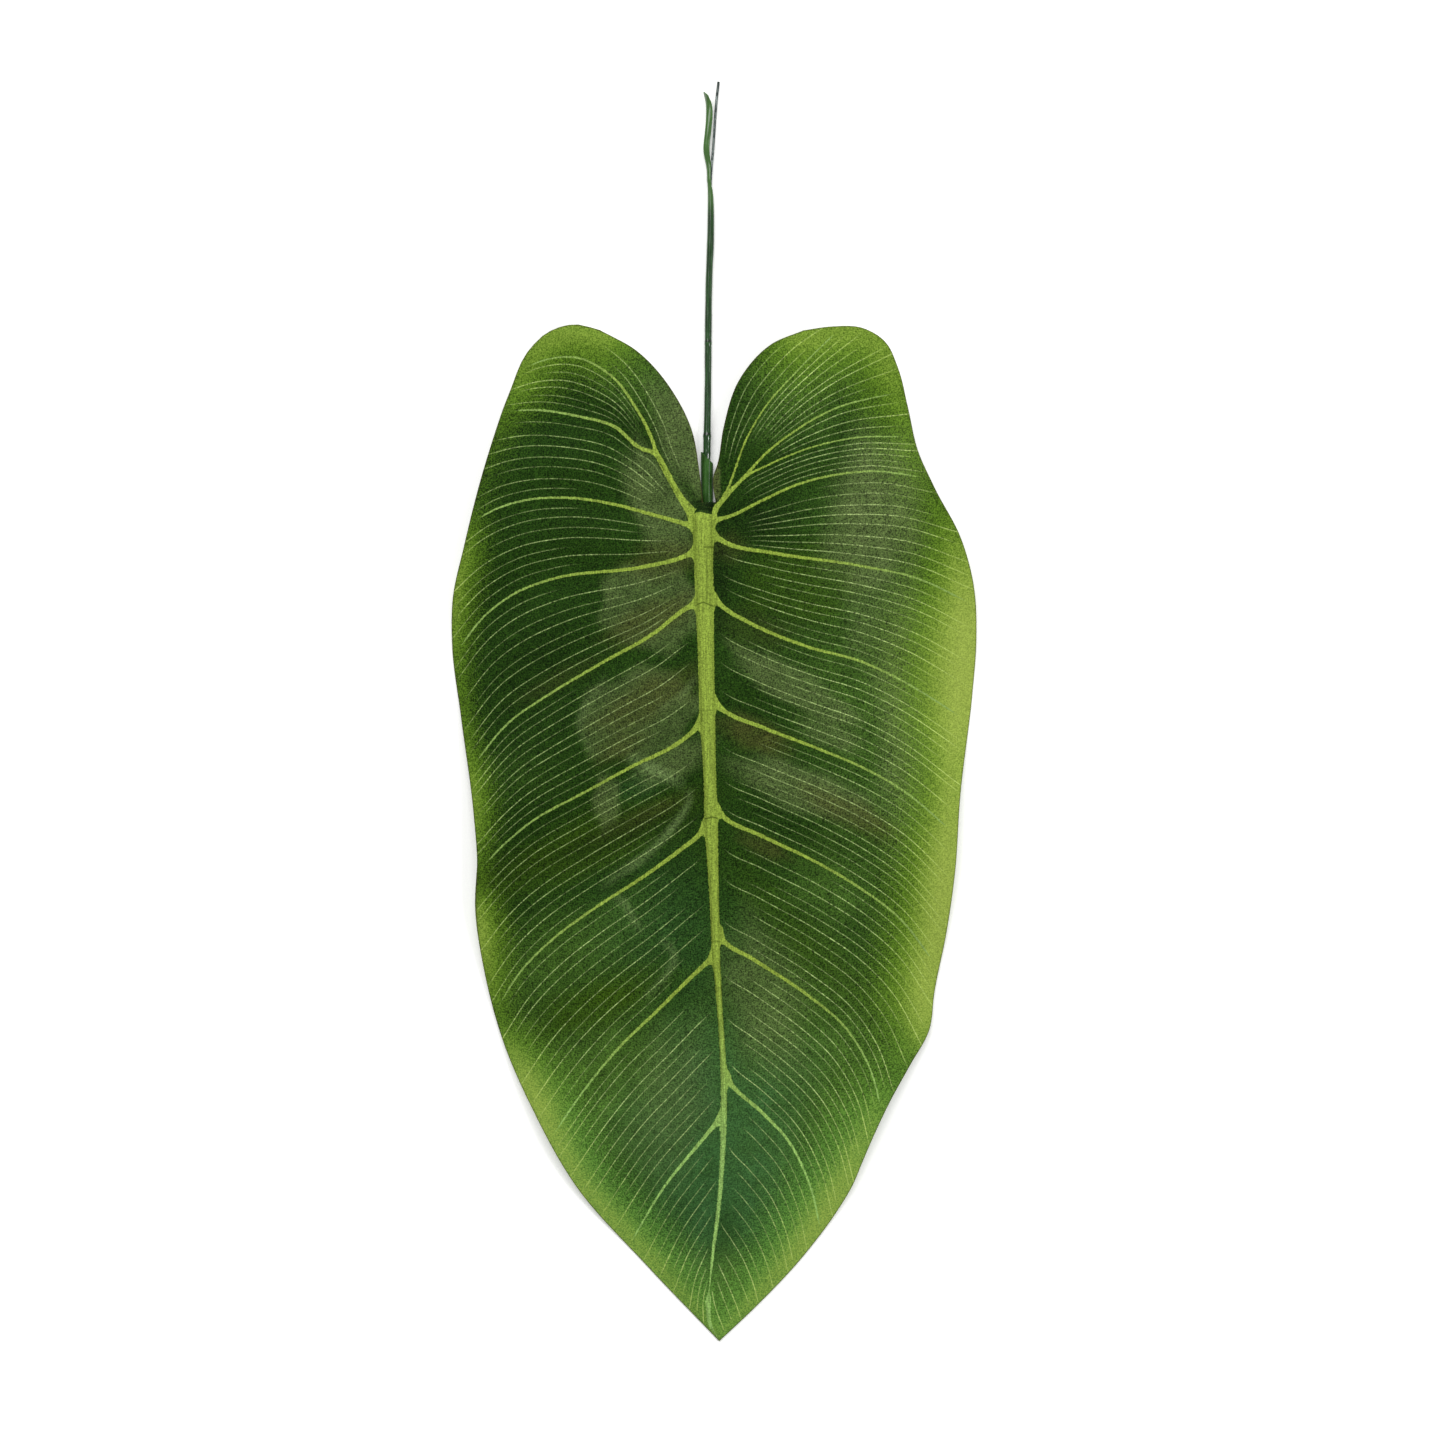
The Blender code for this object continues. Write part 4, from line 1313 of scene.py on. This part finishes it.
    def tones(self, flat: np.ndarray) -> dict:
        """The strength of each tone at each point.

        Args:
            flat: Rows of points in X and Y.

        Returns:
            Rows of strengths for each tone's attribute.
        """
        fields = {tone.value: np.zeros(flat.shape[:2]) for tone in Tone}
        for tone, patches in PATCHES.items():
            for patch in patches:
                turn = math.radians(patch.turn)
                off = flat - np.array(patch.centre)
                u = (off[..., 0] * math.cos(turn) + off[..., 1] * math.sin(turn)) / patch.radii[0]
                v = (off[..., 1] * math.cos(turn) - off[..., 0] * math.sin(turn)) / patch.radii[1]
                angle = np.arctan2(v, u)
                lobes = 1 + 0.07 * np.sin(5 * angle + patch.centre[0]) + 0.05 * np.sin(8 * angle)
                reach, soft = np.hypot(u, v) * lobes, patch.softness
                amount = patch.strength * (1 - smooth_step(reach, 1 - soft, 1 + soft))
                fields[tone.value] = np.maximum(fields[tone.value], amount)
        pale = fields[Tone.PALE.value]
        for route, half, strength in GLUE_EDGES:
            reach, share = nearest_on(flat.reshape(-1, 2), along(route, np.linspace(0, 1, 24)))
            amount = strength * (1 - smooth_step(reach, 0.0, half * 1.4))
            amount = amount * np.sin(math.pi * np.clip(share, 0.0, 1.0)) ** 0.5
            pale = np.maximum(pale, amount.reshape(pale.shape))
        fields[Tone.PALE.value] = pale
        return fields

    def margin_fields(self, flat: np.ndarray) -> dict:
        """The airbrushed margin's strength and the distance from the cut edge.

        Args:
            flat: Rows of points in X and Y.

        Returns:
            Rows of values for the attributes glow and edge.
        """
        points = flat.reshape(-1, 2)
        glow = np.zeros(len(points))
        edge = np.full(len(points), self.far_off)
        shares = np.linspace(0, 1, self.edge_steps)
        for side in Side:
            line = along(self.outlines[side], shares)
            reach, share = nearest_on(points, line)
            y = np.interp(share, shares, line[:, 1])
            width, strength = np.moveaxis(down_leaf(self.glows[side], y), -1, 0)
            own = (points[:, 0] * side.value > -4.0) | (points[:, 1] < -150)
            falls = np.clip(1.15 - reach / np.maximum(width, 1.0), 0, 1)
            glow = np.maximum(glow, strength * falls**1.4 * own)
            edge = np.minimum(edge, reach)
            inner = along(self.veins[side][0].route, np.linspace(0, 1, 60))
            edge = np.minimum(edge, nearest_on(points, inner)[0])
        return {"glow": glow.reshape(flat.shape[:2]), "edge": edge.reshape(flat.shape[:2])}

    def build(self, offset: Vector) -> Piece:
        """The finished blade, a sheet of cloth.

        Args:
            offset: From the piece's millimetres to the CAD frame, in metres.

        Returns:
            The blade.
        """
        left, right = self.half(Side.LEFT), self.half(Side.RIGHT)
        across = np.linspace(-1.0, 1.0, self.rib_columns + 1)
        start, finish = left["points"][:, 0, 1], right["points"][:, 0, 1]
        y = start[:, None] + (finish - start)[:, None] * (across + 1) / 2
        middle, half = np.moveaxis(down_leaf(self.rib.place, y), -1, 0)
        x = middle + across * half
        rib_points = np.stack((x, y, self.rib.cloth_under(y, across * half)), axis=-1)
        points = np.concatenate((left["points"][:, :0:-1], rib_points, right["points"][:, 1:]), 1)
        flat = points[..., :2]
        points[..., 2] += self.cloth
        piece = sheet_grid("leaf_blade", points)
        fills = {"vein_gap": np.minimum(self.rib_gap(x, y), 0.2), "fine_ink": np.zeros_like(x),
                 "fine_gap": np.full_like(x, 9.0)}
        fills["vein_gap"][:, 0] = left["vein_gap"][:, 0]
        fills["vein_gap"][:, -1] = right["vein_gap"][:, 0]
        for name, fill in fills.items():
            store(piece, name, np.concatenate((left[name][:, :0:-1], fill, right[name][:, 1:]), 1))
        out = np.concatenate((self.across()[:0:-1], 0 * across, self.across()[1:]))
        store(piece, "reach", np.broadcast_to(out, flat.shape[:2]))
        for name, values in {**self.tones(flat), **self.margin_fields(flat)}.items():
            store(piece, name, values)
        merge_seams(0.02)
        if sum(face.normal.z * face.area for face in piece.data.polygons) < 0:
            in_edit_mode(("flip_normals", {}))
        apply_modifier(piece, "SOLIDIFY", thickness=self.cloth, offset=-1.0, material_offset=1,
                       material_offset_rim=2)
        dress(piece, offset, ("blade",),
              (PrintedCloth().material(), ClothBack().material(), CutEdge().material()))
        return piece


@dataclass
class MouldedRib:
    """The moulded rib behind the midrib, with the sleeve that takes the stem."""

    rib: Midrib
    sides: int = 32
    gap: float = 0.45
    side_gap: float = 0.35
    belly: float = 1.1
    shoulder: float = 0.3
    least_half: float = 0.45
    end: float = -138.0
    sleeve_middle: float = -2.3
    sleeve_radius: float = 2.15
    sleeve_axis: float = 1.95
    sleeve_bore: float = 1.5
    sleeve_mouth: float = 86.8
    sleeve_slant: float = 2.0
    sleeve_end: float = 71.0
    sleeve_blend: float = 9.0
    slant_run: float = 7.0
    slant_rings: int = 6
    lip: float = 0.12
    bore_end: float = 72.6
    bore_middle: float = 80.0

    def sleeve(self, y: float, radius: float, slant: float = 0.0) -> np.ndarray:
        """A ring of the sleeve, flat where it meets the surface below.

        Args:
            y: Its place along Y.
            radius: Its radius.
            slant: How far its two sides lie before and after that place.

        Returns:
            Its points.
        """
        angles = ring_angles(self.sides)
        x = self.sleeve_middle + radius * np.cos(angles)
        z = np.maximum(self.sleeve_axis + radius * np.sin(angles), 0.0)
        return np.column_stack((x, y - slant * np.cos(angles), z))

    def section(self, y: float) -> np.ndarray:
        """The rib's ring at one place: the sleeve's round, or the spine's low arch.

        Args:
            y: Its place along Y.

        Returns:
            Its points.
        """
        middle, half = down_leaf(self.rib.place, y)
        angles = ring_angles(self.sides)
        reach = max(half - self.side_gap, self.least_half)
        offset = reach * np.cos(angles)
        top = self.rib.cloth_under(y, offset) - self.gap
        edge = self.rib.cloth_under(y, reach) - self.gap - self.shoulder
        bottom = edge - (self.belly - self.shoulder) * np.abs(np.sin(angles)) ** 0.6
        z = np.where(np.sin(angles) > 0.1, top, bottom)
        spine = np.column_stack((middle + offset, np.full(len(angles), y), z))
        share = float(smooth_step(self.sleeve_end - y, 0.0, self.sleeve_blend))
        return self.sleeve(y, self.sleeve_radius) * (1 - share) + spine * share

    def build(self, offset: Vector) -> Piece:
        """The finished rib.

        Args:
            offset: From the piece's millimetres to the CAD frame, in metres.

        Returns:
            The rib.
        """
        bore = [self.sleeve(y, self.sleeve_bore, self.sleeve_slant * share)
                for y, share in ((self.bore_end, 0.0), (self.bore_middle, 0.5),
                                 (self.sleeve_mouth, 1.0))]
        lip = [self.sleeve(self.sleeve_mouth, radius, self.sleeve_slant) + (0.0, 0.1, 0.0)
               for radius in (self.sleeve_bore + self.lip, self.sleeve_radius - self.lip)]
        outer = [self.sleeve(self.sleeve_mouth - self.slant_run * step / self.slant_rings,
                             self.sleeve_radius, self.sleeve_slant * (1 - step / self.slant_rings))
                 for step in range(self.slant_rings + 1)]
        blended = self.sleeve_end - self.sleeve_blend
        spine = np.concatenate((np.linspace(self.sleeve_end, blended, 10),
                                np.linspace(blended, self.end, 70)[1:]))
        rings = [*bore, *lip, *outer, *(self.section(float(y)) for y in spine)]
        piece = sheet_grid("moulded_rib", np.array(rings))
        close_ends(0.01)
        finish = MouldedPlastic("rib_plastic", paint("1E3E0E"), paint("3E662C"), 0.2, 0.1,
                                gloss=0.25)
        return dress(piece, offset, ("back_rib",), (finish.material(),))


@dataclass
class StemCoat:
    """The stem's plastic coat, slit at the far end, where one strip of it peels away.

    strip is the first and last corner of the strip round the coat, and slit the span along Y where
    the rest of the coat ends. marks are the ring marks' places and heights, and thick and thin are
    spans of the coat with how much they add or take off.
    """

    radius: float = 1.2
    bore: float = 0.8
    sides: int = 24
    lowest: float = 0.02
    strip: tuple = (6, 14)
    slit: tuple = (172.0, 184.0)
    curl: float = 2.0
    rings: int = 150
    strip_rings: int = 40
    marks: tuple = ((126.4, 0.14), (94.5, 0.16), (88.4, 0.12))
    mark_half: float = 0.45
    thick: tuple = (87.5, 94.5, 0.1)
    thin: tuple = (164.0, 180.0, 0.2)
    route: tuple = (
        (-2.3, 73.4, 1.95), (-2.35, 88.7, 1.95), (-2.2, 98.0, 1.8), (-2.0, 110.0, 1.5),
        (-1.9, 127.0, 1.3), (-1.6, 148.0, 1.25), (-1.05, 163.0, 1.25), (-1.0, 173.0, 1.25),
        (-1.2, 181.0, 1.25),
    )
    strip_turn: float = -0.9
    strip_wider: float = 0.12
    strip_slant: float = 0.9
    strip_route: tuple = (
        (-2.1, 186.5, 1.9), (-2.6, 192.6, 2.2), (-1.95, 199.4, 2.4), (-1.6, 204.5, 2.2),
        (-1.95, 208.0, 1.9), (-2.7, 210.6, 1.8), (-3.2, 211.9, 2.1),
    )

    def swell(self, y: np.ndarray) -> np.ndarray:
        """How much the coat stands out at its ring marks and where it is thicker.

        Args:
            y: Places along Y.

        Returns:
            What is added to the coat's radius at each.
        """
        out = self.thick[2] * smooth_step(y, self.thick[0] - 1, self.thick[0])
        out = out * (1 - smooth_step(y, self.thick[1], self.thick[1] + 1))
        out = out - self.thin[2] * smooth_step(y, *self.thin[:2])
        for place, depth in self.marks:
            out = out + depth * np.exp(-(((y - place) / self.mark_half) ** 2))
        return out + 0.05 * np.sin(y / 2.9) * np.sin(y / 6.7)

    def build(self, offset: Vector) -> Piece:
        """The finished coat and strip, as one piece.

        Args:
            offset: From the piece's millimetres to the CAD frame, in metres.

        Returns:
            The piece.
        """
        centres = along(self.route, np.linspace(0.0, 1.0, self.rings))
        coat = tube(centres, self.radius + self.swell(centres[:, 1]), self.sides)
        coat[..., 2] = np.maximum(coat[..., 2], self.lowest)
        strip = self.strip_sections(centres[-1])
        piece = sheet_grid("stem_coating", np.concatenate((coat, strip))[::-1])
        dropped = [face.index for face in piece.data.polygons
                   if not self.kept(face.index % self.sides, face.center.y)]
        self.remove_faces(piece, dropped)
        merge_seams(0.01)
        self.face_outwards(piece)
        apply_modifier(piece, "SOLIDIFY", thickness=self.radius - self.bore, offset=-1.0)
        apply_modifier(piece, "BEVEL", width=0.08, segments=2, limit_method="ANGLE",
                       angle_limit=math.radians(60))
        finish = MouldedPlastic("stem_plastic", paint("0C2E08"), paint("204C1A"), 0.17, 0.05,
                                far_from=(168.0, 178.0), gloss=0.75,
                                rings=tuple(place for place, _ in self.marks[:2]))
        return dress(piece, offset, ("stem_coat",), (finish.material(),))

    def kept(self, index: int, y: float) -> bool:
        """Whether a face is on the coat or its peeled strip.

        Args:
            index: Its number round the coat.
            y: Its place along Y.

        Returns:
            True if it stays.
        """
        first, last = self.strip
        middle = (first + last - 1) / 2
        off = abs((index - middle + self.sides / 2) % self.sides - self.sides / 2)
        opened = float(smooth_step(y, *self.slit))
        return off <= self.sides / 2 * (1 - opened) + (last - first) / 2 * opened

    def remove_faces(self, piece: Piece, indices: list) -> None:
        """Delete faces of the active piece by their numbers.

        Args:
            piece: The piece.
            indices: The faces' numbers.
        """
        chosen = np.zeros(len(piece.data.polygons), bool)
        chosen[indices] = True
        bpy.ops.object.mode_set(mode="EDIT")
        bpy.ops.mesh.select_all(action="DESELECT")
        bpy.ops.mesh.select_mode(type="FACE")
        bpy.ops.object.mode_set(mode="OBJECT")
        piece.data.polygons.foreach_set("select", chosen)
        bpy.ops.object.mode_set(mode="EDIT")
        bpy.ops.mesh.delete(type="FACE")
        bpy.ops.mesh.select_mode(type="VERT")
        bpy.ops.object.mode_set(mode="OBJECT")

    def face_outwards(self, piece: Piece) -> None:
        """Flip the tube's faces if they point at its middle line.

        Args:
            piece: The active piece, in millimetres.
        """
        middle, plain_end = self.route[3][0], 150.0
        total = sum((face.center.x - middle) * face.normal.x for face in piece.data.polygons
                    if face.center.y < plain_end)
        if total < 0:
            in_edit_mode(("flip_normals", {}))

    def strip_sections(self, coat_end: np.ndarray) -> np.ndarray:
        """Rows of the peeled strip, a part of the coat's wall that opens out towards its end.

        Args:
            coat_end: The middle of the coat's last ring.

        Returns:
            Rows of points.
        """
        first, last = self.strip
        angles = ring_angles(self.sides)
        facing = angles[first:last + 1].mean()
        lean = np.array((math.cos(facing), 0.0, math.sin(facing)))
        centres = along((tuple(coat_end + self.radius * lean), *self.strip_route),
                        np.linspace(0.0, 1.0, self.strip_rings + 1))
        rows = []
        for step, centre in enumerate(centres[1:], 1):
            share = step / self.strip_rings
            radius = self.radius + (self.curl - self.radius) * step / self.strip_rings
            turn = float(smooth_step(share, 0.0, 0.4) - 0.8 * smooth_step(share, 0.7, 1.0))
            wider = 1 + self.strip_wider * float(smooth_step(share, 0.65, 1.0))
            now = facing + self.strip_turn * turn
            lean = np.array((math.cos(now), 0.0, math.sin(now)))
            turned = now + (angles - facing) * wider * self.radius / radius
            spoke = np.column_stack((np.cos(turned), np.zeros(len(turned)), np.sin(turned)))
            rows.append(centre - radius * lean + radius * spoke)
        for share, row in zip((0.25, 0.5, 0.75, 1.0), rows[-4:]):
            row[:, 1] -= share * self.strip_slant * (row[:, 0] - centres[-1][0])
        return np.array(rows)


@dataclass
class CoreWire:
    """The steel wire inside the stem, bare at the far end."""

    radius: float = 0.45
    sides: int = 16
    inside: tuple = StemCoat.route
    bare: tuple = (
        (-0.85, 185.5, 1.2), (-0.45, 190.0, 1.15), (0.0, 196.0, 1.0), (0.5, 203.6, 0.85),
        (1.0, 210.0, 0.7), (1.65, 215.9, 0.6),
    )

    def build(self, offset: Vector) -> Piece:
        """The finished wire.

        Args:
            offset: From the piece's millimetres to the CAD frame, in metres.

        Returns:
            The wire.
        """
        hidden = along(self.inside, np.linspace(0.01, 0.985, 60))
        shown = along((tuple(hidden[-1]), *self.bare), np.linspace(0.0, 1.0, 60))[1:]
        centres = np.concatenate((hidden, shown))
        piece = sheet_grid("steel_wire", tube(centres, self.radius, self.sides)[::-1])
        close_ends(0.005)
        return dress(piece, offset, ("core_wire",), (SteelWire().material(),))


@dataclass
class Studio:
    """The pale floor, the soft lights and the camera straight above."""

    centre: tuple = (3.0, -3.77)
    view_width: float = 495.6
    distance: float = 1400.0
    sensor: float = 36.0
    floor_size: float = 6.0
    floor_low: float = -0.0002
    floor_colour: tuple = paint("F4F4F2")
    floor_pale: tuple = paint("F8F8F6")
    floor_glow: float = 0.22
    sky: float = 0.34
    lights: tuple = (
        ("key", (-0.35, 1.15, 1.25), 1.6, 29.0), ("fill", (1.15, -0.1, 1.2), 0.45, 9.5),
    )

    def build(self, offset: Vector) -> None:
        """Add the floor, lights, world and camera.

        Args:
            offset: From the part's millimetres to the CAD frame, in metres.
        """
        self.add_floor()
        for light in self.lights:
            self.add_light(*light)
        world = bpy.data.worlds.new("studio")
        world.use_nodes = True
        background = world.node_tree.nodes["Background"]
        background.inputs["Color"].default_value = (1, 1, 1, 1)
        background.inputs["Strength"].default_value = self.sky
        bpy.context.scene.world = world
        data = bpy.data.cameras.new("photo_view")
        data.sensor_width = self.sensor
        data.lens = self.sensor * self.distance / self.view_width
        data.clip_end = 20.0
        camera = bpy.data.objects.new("photo_view", data)
        bpy.context.scene.collection.objects.link(camera)
        camera.location = (self.centre[0] * MM + offset.x, self.centre[1] * MM + offset.y,
                           self.distance * MM)
        bpy.context.scene.camera = camera
        bpy.context.scene.view_settings.view_transform = "Standard"

    def add_floor(self) -> None:
        """Add the floor, just below the leaf, with a faint glow of its own."""
        bpy.ops.object.select_all(action="DESELECT")
        bpy.ops.mesh.primitive_plane_add(size=self.floor_size, location=(0, 0, self.floor_low))
        floor = bpy.context.object
        floor.name = "studio_floor"
        graph = Graph("studio_floor")
        colour = graph.mix(graph.noise(400.0), self.floor_colour, self.floor_pale)
        graph.surface(Base_Color=colour, Roughness=0.8, Emission_Strength=self.floor_glow)
        floor.data.materials.append(graph.material)

    def add_light(self, name: str, place: tuple, size: float, power: float) -> None:
        """Add a square soft light that faces the leaf.

        Args:
            name: The light's name.
            place: Where it is, in metres.
            size: The length of its sides, in metres.
            power: Its power in watts.
        """
        data = bpy.data.lights.new(name, "AREA")
        data.shape = "SQUARE"
        data.size = size
        data.energy = power
        lamp = bpy.data.objects.new(name, data)
        bpy.context.scene.collection.objects.link(lamp)
        lamp.location = place
        lamp.rotation_euler = (-Vector(place)).to_track_quat("-Z", "Y").to_euler()


def frame_offset() -> Vector:
    """Where the part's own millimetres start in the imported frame, by the blade's solid.

    Returns:
        The offset in metres.
    """
    low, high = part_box("blade")
    shares = np.linspace(0, 1, ClothBlade.margin_steps)
    left, right = (along(line, shares)[:, 0] for line in (LEFT_OUTLINE, RIGHT_OUTLINE))
    own_middle = (left.min() + right.max()) / 2 * MM
    own_tip = LEFT_OUTLINE[-1][1] * MM
    return Vector(((low.x + high.x) / 2 - own_middle, low.y - own_tip, 0.0))


def main() -> None:
    """Build the leaf's pieces and the studio, and report each of them."""
    logging.basicConfig(level=logging.INFO, format="%(name)s %(message)s")
    offset = frame_offset()
    LOG.info("offset %s mm", tuple(round(part / MM, 3) for part in offset))
    rib = Midrib()
    MouldedRib(rib).build(offset)
    ClothBlade(rib).build(offset)
    StemCoat().build(offset)
    CoreWire().build(offset)
    Studio().build(offset)


if __name__ == "__main__":
    main()
